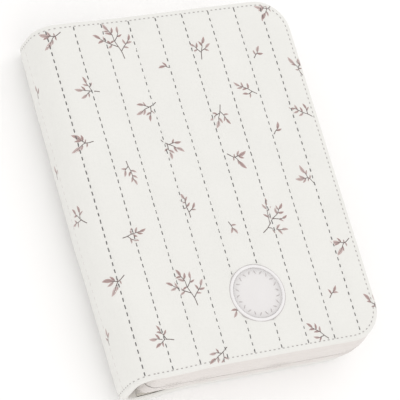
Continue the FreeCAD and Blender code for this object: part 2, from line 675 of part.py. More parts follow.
def check_and_write():
    """Stops on any failed object or unsound shape, then writes each sub-part."""
    doc.recompute()
    for obj in doc.Objects:
        bad = [state for state in obj.State if state in ("Invalid", "Error")]
        if bad:
            raise RuntimeError(f"{obj.Label} is {bad}")
    for obj in SUB_PARTS:
        shape = obj.Shape
        if shape.isNull() or not shape.isValid() or not shape.Solids:
            raise RuntimeError(f"{obj.Label} has no sound shape")
    os.makedirs("parts", exist_ok=True)
    for obj in SUB_PARTS:
        obj.Shape.exportStep(os.path.join("parts", f"{obj.Label}.step"))
        print(f"{obj.Label}: {len(obj.Shape.Solids)} solid(s), {obj.Shape.Volume:.1f} mm3")


fill_sheet()
for side in (BACK, FRONT):
    panel_fabric(side)
    panel_layer(side, f"{side.name}_foam", "Sizes.fabric", "Sizes.foam", "Sizes.hem",
                "Sizes.corner_round - Sizes.hem")
    panel_layer(side, f"{side.name}_lining", "Sizes.fabric + Sizes.foam", "Sizes.lining", "Sizes.hem",
                "Sizes.corner_round - Sizes.hem")
    make_sleeve(side)
    make_book_side(side)
    make_block_side(side)
    make_tape(side)
    make_coil(side)
make_spine()
make_leaves()
make_stops()
make_slider()
make_bail()
make_pull()
make_badge()
check_and_write()
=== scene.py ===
"""Looks of a prayer book in its padded, quilted zip cover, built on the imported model's frame.

Sizes are in metres, in the model's own frame: X from the spine to the fore edge, Y from tail to head,
Z from the back cover up to the front cover. The cover's outside is laid out flat as one piece of cloth,
and a place on it is given by u and y. u runs across: it is X on the front panel and runs on round the
spine. y runs along the spine.
"""

from __future__ import annotations

import logging
import math
import random
from dataclasses import dataclass, field
from enum import Enum
from typing import Callable, Sequence

import bpy
import numpy as np
from mathutils import Matrix, Vector


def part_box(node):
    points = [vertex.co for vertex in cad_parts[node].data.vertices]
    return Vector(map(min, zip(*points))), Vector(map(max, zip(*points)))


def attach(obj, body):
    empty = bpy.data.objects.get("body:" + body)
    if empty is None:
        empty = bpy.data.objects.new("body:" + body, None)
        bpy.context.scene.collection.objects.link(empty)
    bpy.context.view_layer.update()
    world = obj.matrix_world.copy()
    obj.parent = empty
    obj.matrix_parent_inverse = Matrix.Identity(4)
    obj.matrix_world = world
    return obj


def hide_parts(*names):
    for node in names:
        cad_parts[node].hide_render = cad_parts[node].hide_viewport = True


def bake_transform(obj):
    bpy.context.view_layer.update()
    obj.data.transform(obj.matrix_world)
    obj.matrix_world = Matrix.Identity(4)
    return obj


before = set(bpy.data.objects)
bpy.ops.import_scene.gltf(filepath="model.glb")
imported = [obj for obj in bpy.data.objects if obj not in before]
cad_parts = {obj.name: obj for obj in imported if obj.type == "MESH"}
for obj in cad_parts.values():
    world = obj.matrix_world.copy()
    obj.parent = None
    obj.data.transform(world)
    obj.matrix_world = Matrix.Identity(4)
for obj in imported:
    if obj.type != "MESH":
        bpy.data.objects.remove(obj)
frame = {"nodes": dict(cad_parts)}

LOG = logging.getLogger("prayer_book")
MM = 0.001
# Points round a corner of the cover, along the quarter turn of its rolled edge, and round a path's corner.
TURN_STEPS = 26
LIP_STEPS = 8
ROUND_STEPS = 33
# Lengths too small to matter: what a divisor gains, and what tells two places apart.
GUARD = 1e-12
SAME = 1e-9
# Columns across each fold and across the spine.
FOLD_COLUMNS = 35
SPINE_COLUMNS = 24
PART_NAMES = ("front", "front_fold", "spine", "back_fold", "back")

Array = np.ndarray
Colour = tuple[float, float, float]
Material = bpy.types.Material
Piece = bpy.types.Object
Socket = bpy.types.NodeSocket
Tree = bpy.types.NodeTree
Carrier = Callable[[Piece], None]


class Body(str, Enum):
    """The rigid bodies that pieces ride on."""

    BACK = "back_cover"
    SPINE = "spine"
    FRONT = "front_cover"


# ---- mesh tools


@dataclass
class MeshBuilder:
    """Collects vertices, faces and flat cloth coordinates, and makes one mesh object of them."""

    verts: list[Array] = field(default_factory=list)
    flats: list[Array] = field(default_factory=list)
    faces: list[tuple[int, ...]] = field(default_factory=list)
    slots: list[int] = field(default_factory=list)
    count: int = 0

    def add(self, points: Array, flat: Array | None = None) -> int:
        """Adds a run of points.

        Args:
            points: N by 3 places, in metres.
            flat: N by 2 cloth coordinates, in metres, or None.

        Returns:
            The index of the first new vertex.
        """
        points = np.asarray(points, float).reshape(-1, 3)
        first = self.count
        self.verts.append(points)
        if flat is None:
            flat = points[:, :2]
        self.flats.append(np.asarray(flat, float).reshape(-1, 2))
        self.count += len(points)
        return first

    def quads(
        self,
        rows: Array,
        close_rows: bool = False,
        close_columns: bool = False,
        slot: int = 0,
    ) -> None:
        """Joins a table of vertex indices with quads.

        Args:
            rows: R by C vertex indices.
            close_rows: Also join the last row to the first.
            close_columns: Also join the last column to the first.
            slot: Material slot of the faces.
        """
        down = rows.shape[0] if close_rows else rows.shape[0] - 1
        across = rows.shape[1] if close_columns else rows.shape[1] - 1
        for r in range(down):
            nr = (r + 1) % rows.shape[0]
            for c in range(across):
                nc = (c + 1) % rows.shape[1]
                self.faces.append((rows[r, c], rows[r, nc], rows[nr, nc], rows[nr, c]))
                self.slots.append(slot)

    def grid(
        self,
        points: Array,
        flat: Array | None = None,
        flip: bool = False,
        close_rows: bool = False,
        close_columns: bool = False,
        slot: int = 0,
    ) -> Array:
        """Adds a grid of points with quads between them.

        Args:
            points: R by C by 3 places.
            flat: R by C by 2 cloth coordinates, or None.
            flip: Turn the faces over.
            close_rows: Join the last row to the first.
            close_columns: Join the last column to the first.
            slot: Material slot.

        Returns:
            The R by C vertex indices.
        """
        shape = points.shape[:2]
        first = self.add(points.reshape(-1, 3), None if flat is None else flat.reshape(-1, 2))
        rows = np.arange(first, first + shape[0] * shape[1]).reshape(shape)
        self.quads(rows[::-1] if flip else rows, close_rows, close_columns, slot)
        return rows

    def build(self, name: str, materials: Sequence[Material], smooth: bool = True) -> Piece:
        """Makes the mesh object and links it to the scene.

        Args:
            name: Name of the piece.
            materials: One material per slot.
            smooth: Shade the faces smooth.

        Returns:
            The new object.
        """
        mesh = bpy.data.meshes.new(name)
        faces = [tuple(int(i) for i in face) for face in self.faces]
        mesh.from_pydata(np.vstack(self.verts).tolist(), [], faces)
        mesh.polygons.foreach_set("material_index", np.array(self.slots, np.int32))
        mesh.polygons.foreach_set("use_smooth", np.full(len(mesh.polygons), smooth))
        flat = np.zeros((self.count, 3), np.float32)
        flat[:, :2] = np.vstack(self.flats) / MM
        attribute = mesh.attributes.new("flat", "FLOAT_VECTOR", "POINT")
        attribute.data.foreach_set("vector", flat.ravel())
        mesh.update()
        obj = bpy.data.objects.new(name, mesh)
        bpy.context.scene.collection.objects.link(obj)
        for material in materials:
            mesh.materials.append(material)
        return obj


def smoothstep(t: Array | float) -> Array | float:
    """Eases from 0 to 1 as t goes from 0 to 1."""
    t = np.clip(t, 0.0, 1.0)
    return t * t * (3 - 2 * t)


def cosine_spread(count: int) -> Array:
    """Places from 0 to 1 that crowd towards 1."""
    return np.sin(np.linspace(0, math.pi / 2, count))


def rounded_fore(y: Array, fore: float, half: float, corner: float) -> Array:
    """X of a flat sheet's fore edge, with its two corners rounded.

    Args:
        y: Places along the spine.
        fore: X of the edge's straight.
        half: Y of the sheet's head.
        corner: Radius of the corners.

    Returns:
        X of the edge at each place.
    """
    over = np.clip(np.abs(y) - (half - corner), 0, corner)
    return fore - corner + np.sqrt(np.clip(corner**2 - over**2, 0, None))


@dataclass(frozen=True)
class PlanPath:
    """A level path with rounded corners: its points, outward normals and running length."""

    points: Array
    normals: Array
    run: Array

    @staticmethod
    def rounded(corners: Sequence[tuple[float, float]], radii: Sequence[float], step: float) -> "PlanPath":
        """Rounds a line of corners and divides it into even steps.

        Args:
            corners: The line's corners, anticlockwise round the object.
            radii: One radius per inner corner.
            step: Distance between points.

        Returns:
            The path.
        """
        places = [Vector(c) for c in corners]
        dense: list[Vector] = [places[0]]
        for before, here, after, radius in zip(places, places[1:], places[2:], radii):
            back, on = (before - here).normalized(), (after - here).normalized()
            reach = radius / math.tan(back.angle(on) / 2)
            start, end = here + back * reach, here + on * reach
            centre = here + (back + on).normalized() * radius / math.sin(back.angle(on) / 2)
            for t in np.linspace(0, 1, ROUND_STEPS):
                arm = (start - centre).lerp(end - centre, t).normalized() * radius
                dense.append(centre + arm)
        dense.append(places[-1])
        line = np.array([tuple(p) for p in dense])
        gaps = np.hypot(*np.diff(line, axis=0).T)
        keep = np.r_[True, gaps > SAME]
        line = line[keep]
        run = np.r_[0, np.cumsum(np.hypot(*np.diff(line, axis=0).T))]
        even = np.linspace(0, run[-1], max(3, int(run[-1] / step) + 1))
        points = np.c_[np.interp(even, run, line[:, 0]), np.interp(even, run, line[:, 1])]
        ahead = np.gradient(points, axis=0)
        ahead /= np.linalg.norm(ahead, axis=1, keepdims=True)
        return PlanPath(points, np.c_[ahead[:, 1], -ahead[:, 0]], even)


# ---- the cover's shape


@dataclass
class CoverShape:
    """The outside of the cover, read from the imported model, and how its padding stands and dips."""

    fore: float
    half: float
    thick: float
    spine_face: float
    corner: float = 18.0 * MM
    fold: float = 11.0 * MM
    padding: float = 3.6 * MM
    lip: float = 1.8 * MM
    first_row: float = 14.0 * MM
    row_pitch: float = 15.3 * MM
    row_dip: float = 0.55 * MM
    row_width: float = 1.35 * MM
    puff: float = 0.3 * MM
    crown: float = 1.0 * MM
    crown_fade: float = 0.5
    spine_crown: float = 2.4 * MM
    spine_crown_fade: float = 0.55
    head_ease: float = 0.9 * MM
    tail_ease: float = 1.1 * MM
    corner_ease: float = 2.6 * MM
    topstitch_in: float = 2.5 * MM
    topstitch_dip: float = 0.34 * MM
    topstitch_reach: float = 0.9 * MM
    stitch_pitch: float = 3.8 * MM
    pull_mean: float = 0.82
    pull_swing: float = 0.18
    pucker: float = 0.05 * MM
    pucker_length: float = 7.6 * MM
    pucker_reach: float = 3.2 * MM
    pucker_shift: float = 40.0
    flat_rim: float = 2.0 * MM
    rim_fade: float = 4.0 * MM
    front_ease_reach: float = 42 * MM
    back_ease_reach: float = 36 * MM
    ease_start: float = 55 * MM
    ease_length: float = 40 * MM
    wave_count: int = 9
    wave_turns: tuple[float, float] = (40, 190)
    wave_height: tuple[float, float] = (0.02, 0.06)
    wave_phase: float = 6.28
    seed: int = 7
    waves: list[tuple[float, float, float, float]] = field(init=False)

    @classmethod
    def from_frame(cls) -> "CoverShape":
        """Reads the case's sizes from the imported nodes.

        Returns:
            The cover's shape.
        """
        _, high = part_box("front_outer_fabric")
        low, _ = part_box("spine_outer_fabric")
        return cls(fore=high.x, half=high.y, thick=high.z, spine_face=low.x)

    def __post_init__(self) -> None:
        """Draws the slow unevenness of the cloth."""
        rng = random.Random(self.seed)
        self.waves = [
            (
                rng.uniform(*self.wave_turns),
                rng.uniform(*self.wave_turns),
                rng.uniform(0, self.wave_phase),
                rng.uniform(*self.wave_height) * MM,
            )
            for _ in range(self.wave_count)
        ]

    @property
    def fold_start(self) -> float:
        """X where the flat panels end and the folds begin."""
        return self.spine_face + self.fold

    @property
    def arc(self) -> float:
        """Length of cloth over one fold."""
        return self.fold * math.pi / 2

    @property
    def spine_flat(self) -> float:
        """Length of cloth over the flat of the spine, from fold to fold."""
        return self.thick - 2 * self.fold

    @property
    def breaks(self) -> tuple[float, float, float, float]:
        """The four values of u where flat and fold meet, from the front panel to the back one.

        Returns:
            The upper fold's two ends, then the lower fold's.
        """
        a = self.fold_start
        b = a - self.arc
        c = b - self.spine_flat
        return a, b, c, c - self.arc

    def section(self, u: Array) -> tuple[Array, Array, Array, Array]:
        """The plain outside without its padding.

        Args:
            u: Places across the cloth.

        Returns:
            X, Z and the outward direction's X and Z at each place.
        """
        a, b, c, d = self.breaks
        quarter = math.pi / 2
        turn = np.clip((a - u) / self.fold, 0, quarter) + np.clip((c - u) / self.fold, 0, quarter)
        nx, nz = -np.sin(turn), np.cos(turn)
        x = np.where(u >= a, u, self.fold_start + self.fold * nx)
        z = np.where(u >= a, self.thick, self.thick - self.fold + self.fold * nz)
        on_spine = (u < b) & (u >= c)
        z = np.where(on_spine, self.thick - self.fold - (b - u), z)
        x = np.where(on_spine, self.spine_face, x)
        low_fold = u < c
        x = np.where(low_fold, self.fold_start + self.fold * nx, x)
        z = np.where(low_fold, self.fold + self.fold * nz, z)
        x = np.where(u < d, self.fold_start + (d - u), x)
        z = np.where(u < d, 0.0, z)
        return x, z, nx, nz

    def edge_distance(self, u: Array, y: Array) -> Array:
        """Distance along the cloth from its nearest outer edge.

        Args:
            u: Places across the cloth.
            y: Places along the spine.

        Returns:
            The distance at each place, below 0 beyond the edge.
        """
        _, _, _, d = self.breaks
        x = np.where(u < d, self.fold_start + (d - u), u)
        dx = self.fore - x
        dy = self.half - np.abs(y)
        corner = self.corner - np.hypot(self.corner - dx, self.corner - dy)
        return np.where((dx < self.corner) & (dy < self.corner), corner, np.minimum(dx, dy))

    def stand(self, u: Array, y: Array) -> Array:
        """How far the padded cloth stands out of the plain outside.

        Args:
            u: Places across the cloth.
            y: Places along the spine.

        Returns:
            The height at each place, below 0 where the cloth dips.
        """
        rim = self.edge_distance(u, y)
        top = self.fore - self.first_row
        nearest = top - np.round((top - u) / self.row_pitch) * self.row_pitch
        off = np.where(self.plain(nearest), self.row_pitch / 2, np.abs(u - nearest))
        inside = smoothstep((rim - self.flat_rim) / self.rim_fade)
        # Each stitch pulls the cloth down a little more than the gap beside it does.
        pull = self.pull_mean + self.pull_swing * np.cos(2 * math.pi * y / self.stitch_pitch)
        dip = self.row_dip * pull * np.exp(-((off / self.row_width) ** 2))
        puff = self.puff * np.sin(np.clip(off / (self.row_pitch / 2), 0, 1) * math.pi / 2)
        wave = sum(h * np.sin(fx * u + fy * y + p) for fx, fy, p, h in self.waves)
        pucker = self.pucker * np.sin(
            2 * math.pi * y / self.pucker_length + self.pucker_shift * u / self.row_pitch
        )
        pucker = pucker * np.exp(-((off / self.pucker_reach) ** 2))
        stitch = self.topstitch_dip * np.exp(-(((rim - self.topstitch_in) / self.topstitch_reach) ** 2))
        short = np.clip(self.lip - rim, 0, self.lip)
        roll = self.lip - np.sqrt(np.clip(self.lip**2 - short**2, 0, None))
        soft = inside * (puff + wave + pucker) + self.rise(u, y)
        return soft * self.free(u) - inside * dip - stitch - roll

    def plain(self, row: Array) -> Array:
        """Whether a quilting row lies on the spine, where it hardly draws the cloth in."""
        _, b, c, _ = self.breaks
        return (row < b) & (row > c)

    def free(self, u: Array) -> Array:
        """Share of its fullness that the padding keeps: none where the cloth lies on the table."""
        _, _, c, d = self.breaks
        return smoothstep((u - d) / (c - d))

    def rise(self, u: Array, y: Array) -> Array:
        """The slow bow of the front panel and of the spine.

        Args:
            u: Places across the cloth.
            y: Places along the spine.

        Returns:
            The bow's height at each place.
        """
        a, _, _, d = self.breaks
        panel = np.sin(math.pi * np.clip((u - a) / (self.fore - a), 0, 1)) ** 2
        spine = np.sin(math.pi * np.clip((u - d) / (a - d), 0, 1)) ** 2
        along = (y / self.half) ** 2
        front = self.crown * panel * (1 - self.crown_fade * along)
        return front + self.spine_crown * spine * (1 - self.spine_crown_fade * along)

    def eased(self, u: Array, y: Array) -> Array:
        """Y of a place once the cloth's fullness beside the spine has eased its head and tail outwards.

        Args:
            u: Places across the cloth.
            y: Places along the spine.

        Returns:
            Y at each place.
        """
        a, _, _, d = self.breaks
        near = smoothstep(1 - np.clip(u - a, 0, None) / self.front_ease_reach)
        near = near * smoothstep(1 - np.clip(d - u, 0, None) / self.back_ease_reach)
        low = smoothstep((a - u) / (a - d))
        tail = self.tail_ease + (self.corner_ease - self.tail_ease) * low
        end = smoothstep((np.abs(y) - self.ease_start) / self.ease_length)
        return y + near * end * np.where(y > 0, self.head_ease, -tail)

    def point(self, u: Array, y: Array, lift: float | Array = 0.0) -> Array:
        """Places on the padded outside.

        Args:
            u: Places across the cloth.
            y: Places along the spine.
            lift: How far outside the cloth.

        Returns:
            An array of places, with X, Y and Z last.
        """
        u, y = np.broadcast_arrays(np.asarray(u, float), np.asarray(y, float))
        x, z, nx, nz = self.section(u)
        out = self.stand(u, y) + lift
        return np.stack([x + nx * out, self.eased(u, y), z + nz * out], axis=-1)

    def fore_at(self, y: Array, inset: float = 0.0) -> Array:
        """X of a panel's fore edge at y, with its rounded corners, moved in by inset.

        Args:
            y: Places along the spine.
            inset: How far inside the panel's edge.

        Returns:
            X at each place.
        """
        radius = self.corner - inset
        over = np.clip(np.abs(y) - (self.half - self.corner), 0, radius)
        return self.fore - self.corner + np.sqrt(np.clip(radius**2 - over**2, 0, None))

    def rows(self, inset: float = 0.0, step: float = 1.5 * MM) -> Array:
        """Places along the spine for a panel's grid, crowded towards the head and the tail.

        Args:
            inset: How far inside the panel's edge the grid ends.
            step: Distance between places on the straight.

        Returns:
            The places, from tail to head.
        """
        straight = self.half - self.corner
        middle = np.linspace(-straight, straight, int(2 * straight / step) + 1)
        turn = straight + (self.corner - inset) * cosine_spread(TURN_STEPS)[1:]
        return np.r_[-turn[::-1], middle, turn]

    def columns(self, step: float = 1.1 * MM) -> Array:
        """Shares from 0 at the fold to 1 at the fore edge, crowded towards the fore edge.

        Args:
            step: Distance between places away from the fore edge.

        Returns:
            The shares.
        """
        width = self.fore - self.fold_start
        near = 1 - self.corner / width
        even = np.linspace(0, near, int(near * width / step) + 1)
        return np.r_[even, near + (1 - near) * cosine_spread(TURN_STEPS)[1:]]

    def outline(self, inset: float, step: float) -> PlanPath:
        """A panel's edge from the fold at the tail round to the fold at the head, moved in by inset.

        Args:
            inset: How far inside the panel's edge.
            step: Distance between points.

        Returns:
            The path.
        """
        start, fore, half = self.fold_start, self.fore - inset, self.half - inset
        corners = [(start, -half), (fore, -half), (fore, half), (start, half)]
        return PlanPath.rounded(corners, [self.corner - inset] * 2, step)

    def to_u(self, x: Array, front: bool) -> Array:
        """The value of u at X on the front or the back panel."""
        return x if front else self.breaks[3] - (x - self.fold_start)


# ---- finishes


def group_socket(
    group: Tree,
    name: str,
    kind: str,
    out: bool = False,
    value: float | None = None,
) -> None:
    """Adds a named input or output to a node group.

    Args:
        group: The node group.
        name: The socket's name.
        kind: Its type.
        out: Whether it is an output.
        value: Its value while nothing is joined to it.
    """
    socket = group.interface.new_socket(name=name, in_out="OUTPUT" if out else "INPUT", socket_type=kind)
    if value is not None:
        socket.default_value = value


@dataclass
class Nodes:
    """Short calls for placing and joining nodes in one tree."""

    tree: Tree

    def add(self, kind: str, **settings: object) -> bpy.types.Node:
        """Adds a node and sets its properties.

        Args:
            kind: The node's type.
            settings: Its properties, by name.

        Returns:
            The node.
        """
        node = self.tree.nodes.new(kind)
        for name, value in settings.items():
            setattr(node, name, value)
        return node

    def join(self, source: Socket, target: Socket) -> None:
        """Links an output to an input."""
        self.tree.links.new(source, target)

    def math(self, operation: str, a: object, b: object = 0.0, c: object = 0.0) -> Socket:
        """A Math node.

        Args:
            operation: What it works out.
            a: A number or a socket.
            b: A number or a socket.
            c: A number or a socket.

        Returns:
            The result.
        """
        node = self.add("ShaderNodeMath", operation=operation)
        for place, value in zip(node.inputs, (a, b, c)):
            if isinstance(value, Socket):
                self.join(value, place)
            else:
                place.default_value = value
        return node.outputs[0]

    def noise(self, vector: Socket, scale: float, detail: float = 2.0) -> Socket:
        """A noise texture's value at a vector.

        Args:
            vector: Where it is read.
            scale: The texture's scale.
            detail: The texture's detail.

        Returns:
            The value, as a socket.
        """
        node = self.add("ShaderNodeTexNoise")
        node.inputs["Scale"].default_value = scale
        node.inputs["Detail"].default_value = detail
        self.join(vector, node.inputs["Vector"])
        return node.outputs["Fac"]

    def mix(self, share: object, a: object, b: object) -> Socket:
        """Mixes two colours by a share.

        Args:
            share: How much of the second colour, as a number or a socket.
            a: The first colour, or its socket.
            b: The second colour, or its socket.

        Returns:
            The mixed colour, as a socket.
        """
        node = self.add("ShaderNodeMix", data_type="RGBA")
        for place, value in ((node.inputs[0], share), (node.inputs[6], a), (node.inputs[7], b)):
            if isinstance(value, Socket):
                self.join(value, place)
            elif isinstance(value, tuple):
                place.default_value = (*value, 1.0)
            else:
                place.default_value = value
        return node.outputs[2]


def weave_group() -> Tree:
    """A plain weave with slubs: its height and an uneven tone.

    Returns:
        The node group, with inputs Place (in millimetres), Pitch and Slub, and outputs Height and Tone.
    """
    found = bpy.data.node_groups.get("plain_weave")
    if found:
        return found
    group = bpy.data.node_groups.new("plain_weave", "ShaderNodeTree")
    group_socket(group, "Place", "NodeSocketVector")
    group_socket(group, "Pitch", "NodeSocketFloat", value=0.5)
    group_socket(group, "Slub", "NodeSocketFloat", value=0.5)
    group_socket(group, "Height", "NodeSocketFloat", out=True)
    group_socket(group, "Tone", "NodeSocketFloat", out=True)
    kit = Nodes(group)
    give, take = kit.add("NodeGroupInput"), kit.add("NodeGroupOutput")
    place = give.outputs["Place"]
    wobble_share, rib_share, crossing_share, tone_share = 0.9, 0.18, 0.22, 0.6
    short, long = 0.35, 1.6
    wobble = kit.noise(place, 0.35, 3.0)
    split = kit.add("ShaderNodeSeparateXYZ")
    kit.join(place, split.inputs[0])
    bands = []
    for axis in (0, 1):
        shifted = kit.math("MULTIPLY_ADD", wobble, wobble_share, split.outputs[axis])
        turns = kit.math("DIVIDE", shifted, give.outputs["Pitch"])
        bands.append(kit.math("SINE", kit.math("MULTIPLY", turns, 2 * math.pi)))
    crossing = kit.math("MULTIPLY", bands[0], bands[1])
    ribs = kit.math("ADD", *(kit.math("MULTIPLY", band, rib_share) for band in bands))
    weave = kit.math("ADD", kit.math("MULTIPLY_ADD", crossing, crossing_share, 0.5), ribs)
    slubs = []
    for scale in ((short, long, 1.0), (long, short, 1.0)):
        stretch = kit.add("ShaderNodeVectorMath", operation="MULTIPLY")
        stretch.inputs[1].default_value = scale
        kit.join(place, stretch.inputs[0])
        slubs.append(kit.noise(stretch.outputs[0], 0.9, 3.0))
    slub = kit.math("SUBTRACT", kit.math("ADD", *slubs), 1.0)
    height = kit.math("MULTIPLY_ADD", slub, give.outputs["Slub"], weave)
    kit.join(height, take.inputs["Height"])
    fine = kit.math("MULTIPLY", height, 1 - tone_share)
    tone = kit.math("MULTIPLY_ADD", kit.noise(place, 0.05, 4.0), tone_share, fine)
    kit.join(tone, take.inputs["Tone"])
    return group


def grain_group() -> Tree:
    """Fine grain with soft blotches, for card, paper, thread and moulded pieces.

    Returns:
        The node group, with inputs Place and Size, and outputs Height and Tone.
    """
    found = bpy.data.node_groups.get("fine_grain")
    if found:
        return found
    group = bpy.data.node_groups.new("fine_grain", "ShaderNodeTree")
    group_socket(group, "Place", "NodeSocketVector")
    group_socket(group, "Size", "NodeSocketFloat", value=1.0)
    group_socket(group, "Height", "NodeSocketFloat", out=True)
    group_socket(group, "Tone", "NodeSocketFloat", out=True)
    kit = Nodes(group)
    give, take = kit.add("NodeGroupInput"), kit.add("NodeGroupOutput")
    scaled = kit.add("ShaderNodeVectorMath", operation="SCALE")
    kit.join(give.outputs["Place"], scaled.inputs[0])
    kit.join(give.outputs["Size"], scaled.inputs["Scale"])
    kit.join(kit.noise(scaled.outputs[0], 2.2, 6.0), take.inputs["Height"])
    kit.join(kit.noise(scaled.outputs[0], 0.12, 3.0), take.inputs["Tone"])
    return group


def object_place(kit: Nodes) -> Socket:
    """The place on a piece itself, in millimetres.

    Args:
        kit: The material's nodes.

    Returns:
        The place, as a vector socket.
    """
    scaled = kit.add("ShaderNodeVectorMath", operation="SCALE")
    scaled.inputs["Scale"].default_value = 1 / MM
    kit.join(kit.add("ShaderNodeTexCoord").outputs["Object"], scaled.inputs[0])
    return scaled.outputs[0]


def add_bump(kit: Nodes, shader: bpy.types.Node, height: Socket, strength: float, distance: float) -> None:
    """Gives a shader the relief of a height.

    Args:
        kit: The material's nodes.
        shader: The shader it feeds.
        height: The relief.
        strength: How strongly it shows.
        distance: Its full height.
    """
    bump = kit.add("ShaderNodeBump")
    bump.inputs["Strength"].default_value = strength
    bump.inputs["Distance"].default_value = distance
    kit.join(height, bump.inputs["Height"])
    kit.join(bump.outputs[0], shader.inputs["Normal"])


def blank_finish(title: str) -> tuple[Material, Nodes, bpy.types.Node]:
    """Makes a new material with nothing joined to its shader yet.

    Args:
        title: The material's name.

    Returns:
        The material, its nodes and its shader.
    """
    material = bpy.data.materials.new(title)
    material.use_nodes = True
    return material, Nodes(material.node_tree), material.node_tree.nodes["Principled BSDF"]


@dataclass(frozen=True)
class Cloth:
    """A woven cloth, or print or thread on it."""

    name: str
    colour: Colour
    shade: Colour
    pitch: float = 0.55
    slub: float = 0.8
    bump: float = 0.35
    rough: float = 0.9
    sheen: float = 0.25
    sheen_rough: float = 0.5
    specular: float = 0.15
    relief: float = 0.12 * MM
    by_cloth: bool = True

    def make(self) -> Material:
        """Builds the material, once.

        Returns:
            The material.
        """
        title = f"{self.name}_finish"
        found = bpy.data.materials.get(title)
        if found:
            return found
        material, kit, shader = blank_finish(title)
        if self.by_cloth:
            place = kit.add("ShaderNodeAttribute", attribute_name="flat").outputs["Vector"]
        else:
            place = object_place(kit)
        weave = kit.add("ShaderNodeGroup", node_tree=weave_group())
        weave.inputs["Pitch"].default_value = self.pitch
        weave.inputs["Slub"].default_value = self.slub
        kit.join(place, weave.inputs["Place"])
        kit.join(kit.mix(weave.outputs["Tone"], self.shade, self.colour), shader.inputs["Base Color"])
        add_bump(kit, shader, weave.outputs["Height"], self.bump, self.relief)
        shader.inputs["Roughness"].default_value = self.rough
        shader.inputs["Sheen Weight"].default_value = self.sheen
        shader.inputs["Sheen Roughness"].default_value = self.sheen_rough
        shader.inputs["Specular IOR Level"].default_value = self.specular
        return material


@dataclass(frozen=True)
class Solid:
    """A moulded, cast, card or paper finish with fine grain and slight wear in its tone."""

    name: str
    colour: Colour
    shade: Colour
    rough: float = 0.5
    metallic: float = 0.0
    grain: float = 1.0
    bump: float = 0.1
    relief: float = 0.1 * MM
    wear: float = 0.16
    # Sheets stacked along Z, this many to a millimetre, and how much they show.
    layers: float = 0.0
    layer_stretch: float = 0.004
    layer_tone: float = 1.6
    layer_relief: float = 2.0

    def make(self) -> Material:
        """Builds the material, once.

        Returns:
            The material.
        """
        title = f"{self.name}_finish"
        found = bpy.data.materials.get(title)
        if found:
            return found
        material, kit, shader = blank_finish(title)
        place = object_place(kit)
        grain = kit.add("ShaderNodeGroup", node_tree=grain_group())
        grain.inputs["Size"].default_value = self.grain
        kit.join(place, grain.inputs["Place"])
        tone, height = grain.outputs["Tone"], grain.outputs["Height"]
        if self.layers:
            squeeze = kit.add("ShaderNodeVectorMath", operation="MULTIPLY")
            squeeze.inputs[1].default_value = (self.layer_stretch, self.layer_stretch, self.layers)
            kit.join(place, squeeze.inputs[0])
            sheets = kit.noise(squeeze.outputs[0], 1.0, 2.0)
            tone = kit.math("MULTIPLY_ADD", kit.math("SUBTRACT", sheets, 0.5), self.layer_tone, tone)
            height = kit.math("MULTIPLY_ADD", sheets, self.layer_relief, height)
        kit.join(kit.mix(tone, self.shade, self.colour), shader.inputs["Base Color"])
        add_bump(kit, shader, height, self.bump, self.relief)
        low = self.rough - self.wear / 2
        rough = kit.math("MULTIPLY_ADD", grain.outputs["Tone"], self.wear, low)
        kit.join(rough, shader.inputs["Roughness"])
        shader.inputs["Metallic"].default_value = self.metallic
        return material


